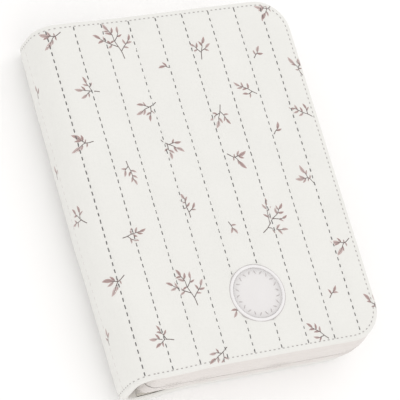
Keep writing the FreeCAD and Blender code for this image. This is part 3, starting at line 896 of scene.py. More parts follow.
class Finishes:
    """Every finish of the book."""

    cover = Cloth("cover_fabric", (0.835, 0.835, 0.808), (0.75, 0.75, 0.723), sheen=0.12)
    lining = Cloth(
        "lining_cloth", (0.80, 0.78, 0.75), (0.72, 0.70, 0.66),
        pitch=0.4, slub=0.3, by_cloth=False,
    )
    foam = Solid("foam", (0.86, 0.84, 0.78), (0.76, 0.73, 0.66), rough=0.95, bump=0.6)
    leaf_print = Cloth("leaf_print", (0.50, 0.375, 0.36), (0.41, 0.29, 0.28))
    pale_print = Cloth("pale_leaf_print", (0.58, 0.47, 0.455), (0.50, 0.385, 0.37))
    stem_print = Cloth("stem_print", (0.225, 0.185, 0.18), (0.165, 0.135, 0.13))
    quilting = Cloth(
        "quilting_thread", (0.18, 0.175, 0.175), (0.125, 0.12, 0.12),
        pitch=0.3, bump=0.6,
    )
    # The spine's rows are sewn with the same thread as the others. This paler colour is a painted
    # highlight where they are seen at a grazing angle.
    spine_thread = Cloth(
        "spine_quilting_thread_painted_highlight", (0.70, 0.67, 0.65), (0.62, 0.59, 0.57),
        pitch=0.3, bump=0.6,
    )
    topstitch = Cloth(
        "topstitch_thread", (0.50, 0.485, 0.475), (0.42, 0.40, 0.39),
        pitch=0.3, bump=0.6,
    )
    sewing = Cloth(
        "coil_sewing_thread", (0.76, 0.73, 0.70), (0.66, 0.625, 0.60),
        pitch=0.3, bump=0.5,
    )
    tape = Cloth(
        "zip_tape_cloth", (0.80, 0.77, 0.745), (0.70, 0.665, 0.64),
        pitch=0.42, slub=0.25, bump=0.5,
    )
    # The coil's nylon tone is darkened to paint the shade down the slit between the two tapes.
    coil = Solid("nylon_coil_painted_slit_shade", (0.33, 0.305, 0.29), (0.26, 0.24, 0.225), rough=0.4)
    metal = Solid(
        "polished_nickel", (0.72, 0.71, 0.70), (0.60, 0.59, 0.58),
        rough=0.22, metallic=1.0, bump=0.03,
    )
    badge = Solid("badge_face", (0.775, 0.762, 0.76), (0.735, 0.72, 0.72), rough=0.45, bump=0.05)
    badge_rim = Solid("badge_rim", (0.84, 0.83, 0.835), (0.80, 0.79, 0.795), rough=0.4, bump=0.04)
    badge_line = Solid("badge_line", (0.56, 0.53, 0.53), (0.48, 0.45, 0.45), rough=0.6)
    board = Cloth(
        "board_cloth", (0.62, 0.56, 0.49), (0.52, 0.46, 0.40),
        pitch=0.35, slub=0.4, by_cloth=False,
    )
    endpaper = Solid("endpaper", (0.86, 0.83, 0.76), (0.80, 0.77, 0.70), rough=0.8)
    pages = Solid(
        "page_block", (0.86, 0.83, 0.755), (0.68, 0.645, 0.565),
        rough=0.85, bump=0.5, layers=6.0,
    )
    leaf = Solid("thin_leaf", (0.88, 0.85, 0.78), (0.83, 0.80, 0.73), rough=0.8)
    mull = Cloth(
        "spine_gauze", (0.80, 0.78, 0.73), (0.66, 0.63, 0.58),
        pitch=0.8, slub=0.2, by_cloth=False,
    )
    headband = Cloth(
        "headband_cloth", (0.52, 0.42, 0.38), (0.80, 0.76, 0.70),
        pitch=1.2, slub=0.1, by_cloth=False,
    )


# ---- padded cover


@dataclass
class PaddedPanel:
    """One padded panel of the cover: outer cloth, foam and lining."""

    shape: CoverShape
    front: bool
    foam_inset: float = 2.2 * MM
    foam_top: float = 0.75 * MM
    foam_bottom: float = 3.0 * MM
    lining_inset: float = 0.9 * MM
    lining_depth: float = 3.55 * MM
    lining_step: float = 2.5 * MM
    lining_thick: float = 0.3 * MM
    lining_fade: float = 6 * MM
    lining_sag: float = 0.1 * MM
    lining_wave: float = 0.12 * MM
    lining_turns: tuple[float, float] = (130, 95)

    @property
    def side(self) -> str:
        """The panel's name at the head of each of its pieces."""
        return "front" if self.front else "back"

    @property
    def body(self) -> Body:
        """The body the panel rides on."""
        return Body.FRONT if self.front else Body.BACK

    def level(self, depth: float | Array) -> float | Array:
        """Z at a depth inside the panel's plain outer face."""
        return self.shape.thick - depth if self.front else depth

    def outer_grid(self, inset: float, sink: float) -> tuple[Array, Array]:
        """The padded outer face.

        Args:
            inset: How far the grid's edge lies inside the panel's.
            sink: How far it lies under the cloth's surface.

        Returns:
            The places and their cloth coordinates, row by row from tail to head.
        """
        shape = self.shape
        y = shape.rows(inset)[:, None]
        x = shape.fold_start + shape.columns()[None, :] * (shape.fore_at(y, inset) - shape.fold_start)
        y = np.broadcast_to(y, x.shape)
        u = shape.to_u(x, self.front)
        points = shape.point(u, y)
        points[..., 2] += (-sink if self.front else sink)
        return points, np.stack([u, y], axis=-1)

    def build_cloth(self) -> Piece:
        """The outer cloth, rolled over the edge and turned in to the seam.

        Returns:
            The cloth.
        """
        builder = MeshBuilder()
        points, flat = self.outer_grid(0.0, 0.0)
        rows = builder.grid(points, flat, flip=not self.front)
        edge = np.r_[rows[0, :], rows[1:, -1], rows[-1, -2::-1]]
        across = np.vstack(builder.verts)[edge]
        cloth = np.vstack(builder.flats)[edge]
        ahead = np.gradient(across[:, :2], axis=0)
        ahead /= np.linalg.norm(ahead, axis=1, keepdims=True) + GUARD
        out = np.c_[ahead[:, 1], -ahead[:, 0]]
        rings = [edge]
        lip = self.shape.lip
        for turn in np.linspace(0, math.pi / 2, LIP_STEPS)[1:]:
            place = across.copy()
            place[:, :2] -= out * lip * (1 - math.cos(turn))
            drop = lip * math.sin(turn)
            place[:, 2] += -drop if self.front else drop
            first = builder.add(place, cloth + out * lip * turn)
            rings.append(np.arange(first, first + len(edge)))
        table = np.array(rings)
        builder.quads(table if not self.front else table[::-1])
        obj = builder.build(f"{self.side}_outer_fabric_padded", [Finishes.cover.make()])
        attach(obj, self.body.value)
        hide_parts(f"{self.side}_outer_fabric")
        return obj

    def build_foam(self) -> Piece:
        """The foam pad between cloth and lining.

        Returns:
            The pad.
        """
        builder = MeshBuilder()
        top, flat = self.outer_grid(self.foam_inset, self.foam_top)
        bottom = top.copy()
        bottom[..., 2] = self.level(self.foam_bottom)
        upper = builder.grid(top, flat, flip=not self.front)
        lower = builder.grid(bottom, flat, flip=self.front)
        loops = []
        for rows in (upper, lower):
            loops.append(np.r_[rows[0, :], rows[1:, -1], rows[-1, -2::-1], rows[-2:0:-1, 0]])
        table = np.array(loops)
        builder.quads(table[::-1] if self.front else table, close_columns=True)
        obj = builder.build(f"{self.side}_foam_pad", [Finishes.foam.make()])
        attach(obj, self.body.value)
        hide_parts(f"{self.side}_foam")
        return obj

    def build_lining(self) -> Piece:
        """The lining, eased a little over the foam.

        Returns:
            The lining.
        """
        shape = self.shape
        inset = self.lining_inset
        y = shape.rows(inset)[:, None]
        share = shape.columns(self.lining_step)[None, :]
        x = shape.fold_start + share * (shape.fore_at(y, inset) - shape.fold_start)
        y = np.broadcast_to(y, x.shape)
        rim = shape.edge_distance(x, y) - inset
        turns_x, turns_y = self.lining_turns
        ease = self.lining_wave * np.sin(x * turns_x) * np.sin(y * turns_y) + self.lining_sag
        depth = self.lining_depth + ease * smoothstep(rim / self.lining_fade)
        points = np.stack([x, y, self.level(depth)], axis=-1)
        builder = MeshBuilder()
        builder.grid(points, np.stack([x, y], axis=-1), flip=self.front)
        obj = builder.build(f"{self.side}_lining_cloth", [Finishes.lining.make()])
        obj.modifiers.new("cloth_thickness", "SOLIDIFY").thickness = self.lining_thick
        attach(obj, self.body.value)
        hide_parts(f"{self.side}_lining")
        return obj

    def build(self) -> None:
        """Builds the panel's three layers."""
        for obj in (self.build_cloth(), self.build_foam(), self.build_lining()):
            LOG.info("%s: %d faces", obj.name, len(obj.data.polygons))


@dataclass
class CoverStrip:
    """A strip of the padded cover that runs from tail to head: the spine, or one of its two folds."""

    shape: CoverShape
    name: str
    start: float
    end: float
    across: int
    place: Carrier
    foam_inset: float = 2.6 * MM
    foam_top: float = 0.8 * MM
    foam_gap: float = 0.7 * MM
    inner_steps: int = 60
    foam_outer: int = 90
    foam_inner: int = 30

    def ring(self, y: Array, depth: Array, padded: Array) -> tuple[Array, Array]:
        """Places for a closed loop round the strip's section, repeated across it.

        Args:
            y: Where the loop runs along the spine.
            depth: How deep it lies under the outer face.
            padded: Share of the outer face's stand that each place follows.

        Returns:
            The places and their cloth coordinates.
        """
        across = np.linspace(self.start, self.end, self.across)
        u = np.broadcast_to(across[None, :], (len(y), self.across))
        along = np.broadcast_to(y[:, None], u.shape)
        x, z, nx, nz = self.shape.section(u)
        out = self.shape.stand(u, along) * padded[:, None] - depth[:, None]
        points = np.stack([x + nx * out, self.shape.eased(u, along), z + nz * out], axis=-1)
        return points, np.stack([u, along + np.sign(along) * depth[:, None]], axis=-1)

    def build_cloth(self) -> Piece:
        """The outer cloth with its rolled ends, and the lining on the inner face.

        Returns:
            The cloth.
        """
        shape = self.shape
        outer = shape.rows()
        turn = np.linspace(0, math.pi / 2, LIP_STEPS)[1:]
        end_y = shape.half - shape.lip * (1 - np.cos(turn))
        end_depth = shape.lip * np.sin(turn)
        inner = np.linspace(end_y[-1], -end_y[-1], self.inner_steps)[1:-1]
        y = np.r_[outer, end_y, inner, -end_y[::-1]]
        depth = np.r_[np.zeros(len(outer)), end_depth, np.full(len(inner), shape.padding), end_depth[::-1]]
        padded = np.r_[np.ones(len(outer)), np.zeros(len(y) - len(outer))]
        lip = np.full(len(turn), shape.lip)
        rolled = np.r_[np.zeros(len(outer)), lip, np.zeros(len(inner)), lip]
        points, flat = self.ring(y, depth + rolled, padded)
        builder = MeshBuilder()
        builder.grid(points, flat, close_rows=True)
        first, last = len(outer) + len(turn), len(outer) + len(turn) + len(inner)
        per_row = self.across - 1
        builder.slots = [int(first <= i // per_row < last) for i in range(len(builder.faces))]
        return builder.build(f"{self.name}_padded", [Finishes.cover.make(), Finishes.lining.make()])

    def build_foam(self) -> Piece:
        """The foam strip between the cloth and the lining.

        Returns:
            The foam.
        """
        shape = self.shape
        reach = shape.half - self.foam_inset
        outer, inner = self.foam_outer, self.foam_inner
        y = np.r_[np.linspace(-reach, reach, outer), np.linspace(reach, -reach, inner)]
        depth = np.r_[np.full(outer, self.foam_top), np.full(inner, shape.padding - self.foam_gap)]
        points, flat = self.ring(y, depth, np.r_[np.ones(outer), np.zeros(inner)])
        builder = MeshBuilder()
        builder.grid(points, flat, close_rows=True)
        return builder.build(f"{self.name}_foam_pad", [Finishes.foam.make()])

    def build(self) -> None:
        """Builds the strip's pieces and places them: the spine's on its body, a fold's where it is built.
        """
        cloth, foam = self.build_cloth(), self.build_foam()
        self.place(cloth)
        self.place(foam)
        LOG.info("%s: %d faces", cloth.name, len(cloth.data.polygons))


def cover_strips(shape: CoverShape) -> list[CoverStrip]:
    """The spine and the two folds beside it.

    Args:
        shape: The cover's shape.

    Returns:
        The strips, each with the way it is placed: the spine on its body, the folds where they are built.
    """
    a, b, c, d = shape.breaks

    def spine(obj: Piece) -> None:
        """The spine rides on its own body.

        Args:
            obj: The spine's cloth or its foam.
        """
        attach(obj, Body.SPINE.value)
        nodes = ("spine_foam",) if "foam" in obj.name else ("spine_outer_fabric", "spine_lining")
        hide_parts(*nodes)

    def upper(obj: Piece) -> None:
        """The upper fold, between the front cover and the spine, stays where it is built: its transform is
        baked into its mesh.
        """
        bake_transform(obj)

    def lower(obj: Piece) -> None:
        """The lower fold, between the spine and the back cover, stays where it is built: its transform is
        baked into its mesh.
        """
        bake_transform(obj)

    return [
        CoverStrip(shape, "front_fold", a, b, FOLD_COLUMNS, upper),
        CoverStrip(shape, "spine", b, c, SPINE_COLUMNS, spine),
        CoverStrip(shape, "back_fold", c, d, FOLD_COLUMNS, lower),
    ]


# ---- sewing and print


@dataclass
class Stitching:
    """Rows of thread sewn into the padded cloth."""

    shape: CoverShape
    quilt_thread: tuple[float, float] = (0.66 * MM, 0.28 * MM)
    spine_thread: tuple[float, float] = (0.46 * MM, 0.16 * MM)
    top_thread: tuple[float, float] = (0.62 * MM, 0.26 * MM)
    quilt_inset: float = 3.4 * MM
    last_gap: float = 5 * MM
    sunk: float = 0.06 * MM
    spine_shift: float = 2.5 * MM
    quilt_stitch: float = 2.4 * MM
    top_pitch: float = 2.6 * MM
    top_stitch: float = 1.35 * MM
    taper: tuple[float, float] = (0.55, 0.45)
    lean: float = 0.06 * MM
    uneven: float = 0.08

    def stitch(self, builder: MeshBuilder, ends: Array, width: float, height: float) -> None:
        """Adds one stitch: a short thread that rises out of the cloth and goes back in.

        Args:
            builder: The mesh it is added to.
            ends: The (u, y) of its two ends.
            width: The thread's width.
            height: How far its middle stands out.
        """
        share = np.linspace(0, 1, 7)
        line = ends[0][None, :] * (1 - share[:, None]) + ends[1][None, :] * share[:, None]
        way = (ends[1] - ends[0]) / np.linalg.norm(ends[1] - ends[0])
        side = np.array([-way[1], way[0]])
        arch = np.sqrt(np.clip(1 - (2 * share - 1) ** 4, 0, 1))
        turn = np.linspace(0, math.pi, 6)
        least, more = self.taper
        spread = np.cos(turn)[None, :] * width / 2 * (least + more * arch[:, None])
        u = line[:, None, 0] + side[0] * spread
        y = line[:, None, 1] + side[1] * spread
        lift = (np.sin(turn)[None, :] * arch[:, None]) * height - self.sunk
        builder.grid(self.shape.point(u, y, lift), np.stack([u, y], axis=-1))

    def quilt_rows(self) -> list[float]:
        """Every quilting row's u, over the front, the spine and the back.

        Returns:
            The rows' places, from the front's fore edge on.
        """
        shape = self.shape
        last = shape.breaks[3] - (shape.fore - shape.fold_start)
        rows, u = [], shape.fore - shape.first_row
        while u > last + self.last_gap:
            rows.append(u - self.spine_shift if shape.plain(u) else u)
            u -= shape.row_pitch
        return rows

    def quilt(self) -> dict[str, MeshBuilder]:
        """Sews the quilting rows, one mesh for each part of the cover.

        Returns:
            The meshes, by the part's name.
        """
        shape = self.shape
        a, _, _, d = shape.breaks
        parts = {name: MeshBuilder() for name in PART_NAMES}
        for u in self.quilt_rows():
            name = PART_NAMES[sum(u <= edge for edge in shape.breaks)]
            x = u if u > a else shape.fold_start + (d - u) if u < d else shape.fold_start
            over = max(0.0, x - (shape.fore - shape.corner))
            reach = shape.half - shape.corner + math.sqrt(shape.corner**2 - over**2) - self.quilt_inset
            count = int(2 * reach / shape.stitch_pitch)
            start = -count * shape.stitch_pitch / 2
            for i in range(count + 1):
                mid = start + i * shape.stitch_pitch
                lean = self.lean * math.sin(i * 2.3 + u * 900)
                half = self.quilt_stitch / 2 * (1 + self.uneven * math.sin(i * 1.7 + u * 500))
                ends = np.array([(u - lean, mid - half), (u + lean, mid + half)])
                thread = self.spine_thread if name == "spine" else self.quilt_thread
                self.stitch(parts[name], ends, *thread)
        return parts

    def edge(self, front: bool) -> MeshBuilder:
        """Sews the topstitching round a panel's edge.

        Args:
            front: Whether it is the front panel.

        Returns:
            The stitches' mesh.
        """
        builder = MeshBuilder()
        path = self.shape.outline(self.shape.topstitch_in, self.top_pitch / 2)
        places = path.points.copy()
        places[:, 0] = self.shape.to_u(places[:, 0], front)
        for i in range(0, len(places) - 1, 2):
            middle = (places[i] + places[i + 1]) / 2
            way = (places[i + 1] - places[i]) / np.linalg.norm(places[i + 1] - places[i])
            ends = np.array([middle - way * self.top_stitch / 2, middle + way * self.top_stitch / 2])
            self.stitch(builder, ends, *self.top_thread)
        return builder

    def ends(self, start: float, end: float) -> MeshBuilder:
        """Sews the topstitching along the head and the tail of one strip of the cover.

        Args:
            start: The value of u where the strip starts.
            end: The value of u where it ends.

        Returns:
            The stitches' mesh.
        """
        builder = MeshBuilder()
        count = int((start - end) / self.top_pitch)
        for i in range(count):
            middle = start + (i + 0.5) * (end - start) / count
            for y in (-1, 1):
                row = y * (self.shape.half - self.shape.topstitch_in)
                half = self.top_stitch / 2
                ends = np.array([(middle - half, row), (middle + half, row)])
                self.stitch(builder, ends, *self.top_thread)
        return builder

    def build(self, carry: dict[str, Carrier]) -> None:
        """Builds every row.

        Args:
            carry: How a piece on each part of the cover is placed: on its body, or where it is built on a
                fold.
        """
        a, b, c, d = self.shape.breaks
        rows = {}
        for name, builder in self.quilt().items():
            # The spine's rows take the paler thread colour, a painted highlight on the same thread.
            finish = Finishes.spine_thread if name == "spine" else Finishes.quilting
            rows[f"{name}_quilting_stitches"] = (name, builder, finish)
        edges = {"front": self.edge(True), "back": self.edge(False)}
        edges |= {"front_fold": self.ends(a, b), "spine": self.ends(b, c), "back_fold": self.ends(c, d)}
        for name, builder in edges.items():
            rows[f"{name}_topstitching"] = (name, builder, Finishes.topstitch)
        for title, (name, builder, finish) in rows.items():
            if builder.count:
                obj = builder.build(title, [finish.make()])
                carry[name](obj)


@dataclass(frozen=True)
class Motif:
    """One drawing of the print, pointing along +X from its stem's foot, its overall length being 1.

    Each twig is a line of places. Each leaf is its foot's place, its heading in degrees and its length.
    """

    length: float
    twigs: tuple[tuple[tuple[float, float], ...], ...]
    leaves: tuple[tuple[float, float, float, float], ...]


class Drawing(Enum):
    """The drawings that the print repeats."""

    BRANCH = Motif(
        20.5 * MM,
        (
            ((0, 0), (0.18, -0.01), (0.36, 0.02), (0.52, 0.05), (0.68, 0.03), (0.82, 0.08)),
            ((0.34, 0.02), (0.44, 0.15), (0.54, 0.25), (0.66, 0.38)),
            ((0.20, 0.0), (0.30, -0.12), (0.36, -0.22), (0.42, -0.30)),
            ((0.50, 0.05), (0.60, -0.07), (0.68, -0.13)),
        ),
        (
            (0.82, 0.08, 15, 0.20), (0.72, 0.04, -30, 0.17), (0.68, 0.03, 55, 0.17),
            (0.68, -0.13, -15, 0.17), (0.60, -0.07, -75, 0.14), (0.66, 0.38, 45, 0.20),
            (0.60, 0.31, 95, 0.17), (0.56, 0.27, 0, 0.16), (0.44, 0.15, 110, 0.15),
            (0.42, -0.30, -35, 0.18), (0.36, -0.22, -95, 0.16), (0.35, -0.20, 10, 0.15),
            (0.52, 0.05, 105, 0.14), (0.47, 0.18, 25, 0.13), (0.29, -0.11, -110, 0.13),
            (0.80, 0.07, 75, 0.14),
        ),
    )
    FAN = Motif(
        13.5 * MM,
        (
            ((0, 0), (0.2, 0.01), (0.38, 0.0), (0.55, -0.03), (0.66, -0.02)),
            ((0.28, 0.0), (0.40, 0.16), (0.52, 0.27)),
            ((0.36, 0.0), (0.50, -0.17)),
        ),
        (
            (0.66, -0.02, -8, 0.32), (0.56, -0.03, 38, 0.24), (0.52, 0.27, 52, 0.27),
            (0.45, 0.21, -2, 0.22), (0.40, 0.16, 112, 0.20), (0.50, -0.17, -38, 0.28),
            (0.44, -0.09, -98, 0.20),
        ),
    )
    LONG = Motif(
        13.5 * MM,
        (
            ((0, 0), (0.2, 0.0), (0.45, 0.04), (0.75, 0.02)),
            ((0.22, 0.0), (0.34, -0.17)),
        ),
        (
            (0.75, 0.02, 10, 0.26), (0.64, 0.03, -38, 0.23), (0.60, 0.03, 52, 0.23),
            (0.44, 0.04, -42, 0.22), (0.40, 0.04, 62, 0.24), (0.34, -0.17, -28, 0.25),
            (0.29, -0.10, -100, 0.20),
        ),
    )
    THREE = Motif(
        13.0 * MM,
        (
            ((0, 0), (0.2, 0.02), (0.38, 0.0), (0.54, 0.07)),
            ((0.34, 0.0), (0.46, -0.14)),
        ),
        (
            (0.54, 0.07, 16, 0.40), (0.47, 0.04, 58, 0.22), (0.46, -0.14, -52, 0.40),
            (0.45, -0.12, -14, 0.27), (0.42, -0.09, -92, 0.25), (0.34, 0.0, -120, 0.15),
            (0.28, 0.01, 70, 0.17),
        ),
    )
    TUFT = Motif(
        8.0 * MM,
        (((0, 0), (0.25, 0.02), (0.5, 0.0)),),
        ((0.5, 0.0, 12, 0.48), (0.42, 0.01, -48, 0.42), (0.30, 0.02, 62, 0.36)),
    )
    PAIR = Motif(
        7.5 * MM,
        (((0, 0), (0.25, 0.03), (0.45, 0.0)),),
        ((0.45, 0.0, 18, 0.52), (0.32, 0.01, -40, 0.44)),
    )


@dataclass(frozen=True)
class Sprig:
    """One printed sprig: its middle on the flat cloth in millimetres, and its heading in degrees."""

    u: float
    y: float
    heading: float
    drawing: Drawing
    mirrored: bool = False


BRANCH, FAN, LONG, THREE, TUFT, PAIR = Drawing

FRONT_SPRIGS = [
    Sprig(-65, 87, 205, THREE),
    Sprig(-30, 83, 100, BRANCH),
    Sprig(16, 73, 75, FAN),
    Sprig(-8, 65, 165, PAIR),
    Sprig(47, 66, 45, TUFT),
    Sprig(58, 88, 212, THREE),
    Sprig(67, 57, 105, THREE),
    Sprig(-54, 58, 165, FAN, True),
    Sprig(-82, 67, 80, PAIR),
    Sprig(33, 47, 150, LONG, True),
    Sprig(-25, 43, 205, FAN),
    Sprig(14, 33, -110, FAN),
    Sprig(61, 31, 145, LONG),
    Sprig(45, 23, 45, PAIR),
    Sprig(-16, 21, -40, FAN, True),
    Sprig(-65, 30, 182, THREE),
    Sprig(18, 9, -35, THREE, True),
    Sprig(-43, 10, -85, LONG),
    Sprig(-86, 24, 80, PAIR),
    Sprig(52, -4, 130, THREE, True),
    Sprig(-18, -10, 90, LONG),
    Sprig(28, -25, 36, BRANCH),
    Sprig(-77, -4, 130, FAN),
    Sprig(-50, -21, 10, LONG),
    Sprig(3, -27, -70, TUFT),
    Sprig(60, -45, 210, THREE),
    Sprig(-68, -45, 212, THREE),
    Sprig(-30, -52, 100, BRANCH),
    Sprig(-9, -70, 215, PAIR),
    Sprig(48, -68, 45, TUFT),
    Sprig(68, -76, 110, THREE),
    Sprig(-82, -66, 75, TUFT),
    Sprig(-53, -76, 165, FAN, True),
    Sprig(32, -87, 140, LONG, True),
    Sprig(-25, -91, 215, FAN),
]


@dataclass
class Print:
    """The printed sprigs, as thin colour lying on the cloth."""

    shape: CoverShape
    lift: float = 0.03 * MM
    edge_gap: float = 0.9 * MM
    leaf_width: float = 0.178
    leaf_bend: float = 0.07
    rib: tuple[float, float] = (0.15 * MM, 0.06 * MM)
    twig: tuple[float, float] = (0.23 * MM, 0.17 * MM)
    twig_over: float = 0.01 * MM
    rib_over: float = 0.02 * MM
    least_width: float = 0.02 * MM
    foot: float = 0.55
    leaf_turn: float = 6
    leaf_growth: tuple[float, float] = (1.0, 1.12)
    seed: int = 12
    # The back's scatter in millimetres: its columns and rows, where the first lies, their steps and
    # where it stops.
    back_seed: int = 31
    back_count: tuple[int, int] = (6, 7)
    back_start: tuple[float, float] = (-122, -80)
    back_step: tuple[float, float] = (21, 27)
    back_stagger: float = 11
    back_jitter: float = 5
    back_reach: tuple[float, float] = (-231, 88)

    def strip(
        self,
        builder: MeshBuilder,
        line: Array,
        widths: Array,
        slot: int,
        over: float = 0.0,
    ) -> None:
        """Adds a strip of print along a line.

        Args:
            builder: The mesh it is added to.
            line: N by 2 places on the flat cloth.
            widths: The strip's half width at each place.
            slot: The colour's material slot.
            over: How far it lies over the first colour.
        """
        way = np.gradient(line, axis=0)
        way /= np.linalg.norm(way, axis=1, keepdims=True) + GUARD
        side = np.c_[-way[:, 1], way[:, 0]] * widths[:, None]
        across = np.stack([line - side, line, line + side], axis=1)
        kept = self.inside(across)
        points = self.shape.point(kept[..., 0], kept[..., 1], self.lift + over)
        builder.grid(points, kept, slot=slot, flip=True)

    def inside(self, places: Array) -> Array:
        """Keeps places on the cloth's outer face, off its rolled edge.

        Args:
            places: Places on the flat cloth.

        Returns:
            The same places, moved in where they lay too far out.
        """
        shape = self.shape
        limit = shape.half - self.edge_gap
        y = np.clip(places[..., 1], -limit, limit)
        fore = shape.fore_at(y, self.edge_gap)
        u = np.minimum(places[..., 0], fore)
        low = shape.breaks[3] - (fore - shape.fold_start)
        return np.stack([np.maximum(u, low), y], axis=-1)

    def leaf(self, builder: MeshBuilder, foot: Array, angle: float, length: float, slot: int) -> None:
        """Adds a pointed leaf from its foot, with the darker line along its middle.

        Args:
            builder: The mesh it is added to.
            foot: Where it starts.
            angle: The way it points, in radians.
            length: Its length.
            slot: The colour's material slot.
        """
        share = np.linspace(0, 1, 9)
        way = np.array([math.cos(angle), math.sin(angle)])
        side = np.array([-way[1], way[0]])
        bend = self.leaf_bend * length * np.sin(share * math.pi) * (1 if slot else -1)
        line = foot + share[:, None] * length * way + bend[:, None] * side
        widths = self.leaf_width * length * np.sin(share**0.85 * math.pi) ** 0.85
        self.strip(builder, line, np.maximum(widths, self.least_width), slot)
        self.strip(builder, line[:-2], np.linspace(*self.rib, 7), 2, self.rib_over)

    def sprig(self, builder: MeshBuilder, sprig: Sprig, rng: random.Random) -> None:
        """Adds one whole sprig.

        Args:
            builder: The mesh it is added to.
            sprig: The sprig.
            rng: Draws the small differences between its leaves.
        """
        motif = sprig.drawing.value
        angle = math.radians(sprig.heading)
        way = np.array([math.cos(angle), math.sin(angle)])
        hand = -1 if sprig.mirrored else 1
        side = np.array([-way[1], way[0]]) * hand
        foot = np.array([sprig.u, sprig.y]) * MM - way * motif.length * self.foot
        for twig in motif.twigs:
            line = np.array([foot + motif.length * (x * way + y * side) for x, y in twig])
            share = np.linspace(0, len(line) - 1, 3 * len(line))
            smooth = np.c_[[np.interp(share, np.arange(len(line)), line[:, k]) for k in (0, 1)]].T
            self.strip(builder, smooth, np.linspace(*self.twig, len(share)), 2, self.twig_over)
        for x, y, turn, length in motif.leaves:
            place = foot + motif.length * (x * way + y * side)
            heading = angle + hand * math.radians(turn + rng.uniform(-self.leaf_turn, self.leaf_turn))
            grown = motif.length * length * rng.uniform(*self.leaf_growth)
            self.leaf(builder, place, heading, grown, rng.choice((0, 1)))

    def back_sprigs(self) -> list[Sprig]:
        """Sprigs for the spine's lower fold and the back panel, scattered in the same manner.

        Returns:
            The sprigs.
        """
        rng = random.Random(self.back_seed)
        found = []
        columns, rows = self.back_count
        first_u, first_y = self.back_start
        step_u, step_y = self.back_step
        low_u, high_y = self.back_reach
        near = self.back_jitter
        for column in range(columns):
            for row in range(rows):
                u = first_u - column * step_u + rng.uniform(-near, near)
                y = first_y + row * step_y + (column % 2) * self.back_stagger + rng.uniform(-near, near)
                if abs(y) < high_y and u > low_u:
                    drawing = rng.choice((FAN, LONG, THREE, TUFT, PAIR, BRANCH))
                    found.append(Sprig(u, y, rng.uniform(0, 360), drawing, rng.random() < 0.5))
        return found

    def build(self, carry: dict[str, Carrier]) -> None:
        """Prints every sprig, cut where one part of the cover meets the next.

        Args:
            carry: How a piece on each part of the cover is placed: on its body, or where it is built on a
                fold.
        """
        rng = random.Random(self.seed)
        sheet = MeshBuilder()
        for sprig in FRONT_SPRIGS + self.back_sprigs():
            self.sprig(sheet, sprig, rng)
        flats = np.vstack(sheet.flats)
        verts = np.vstack(sheet.verts)
        parts: dict[str, list[int]] = {name: [] for name in PART_NAMES}
        for number, face in enumerate(sheet.faces):
            u = float(np.mean(flats[list(face), 0]))
            parts[PART_NAMES[sum(u < edge for edge in self.shape.breaks)]].append(number)
        colours = [Finishes.leaf_print.make(), Finishes.pale_print.make(), Finishes.stem_print.make()]
        for name, numbers in parts.items():
            if not numbers:
                continue
            used = sorted({i for n in numbers for i in sheet.faces[n]})
            index = {old: new for new, old in enumerate(used)}
            part = MeshBuilder()
            part.add(verts[used], flats[used])
            part.faces = [tuple(index[i] for i in sheet.faces[n]) for n in numbers]
            part.slots = [sheet.slots[n] for n in numbers]
            obj = part.build(f"{name}_printed_sprigs", colours)
            carry[name](obj)
            LOG.info("%s: %d faces", obj.name, len(obj.data.polygons))


# ---- zipper


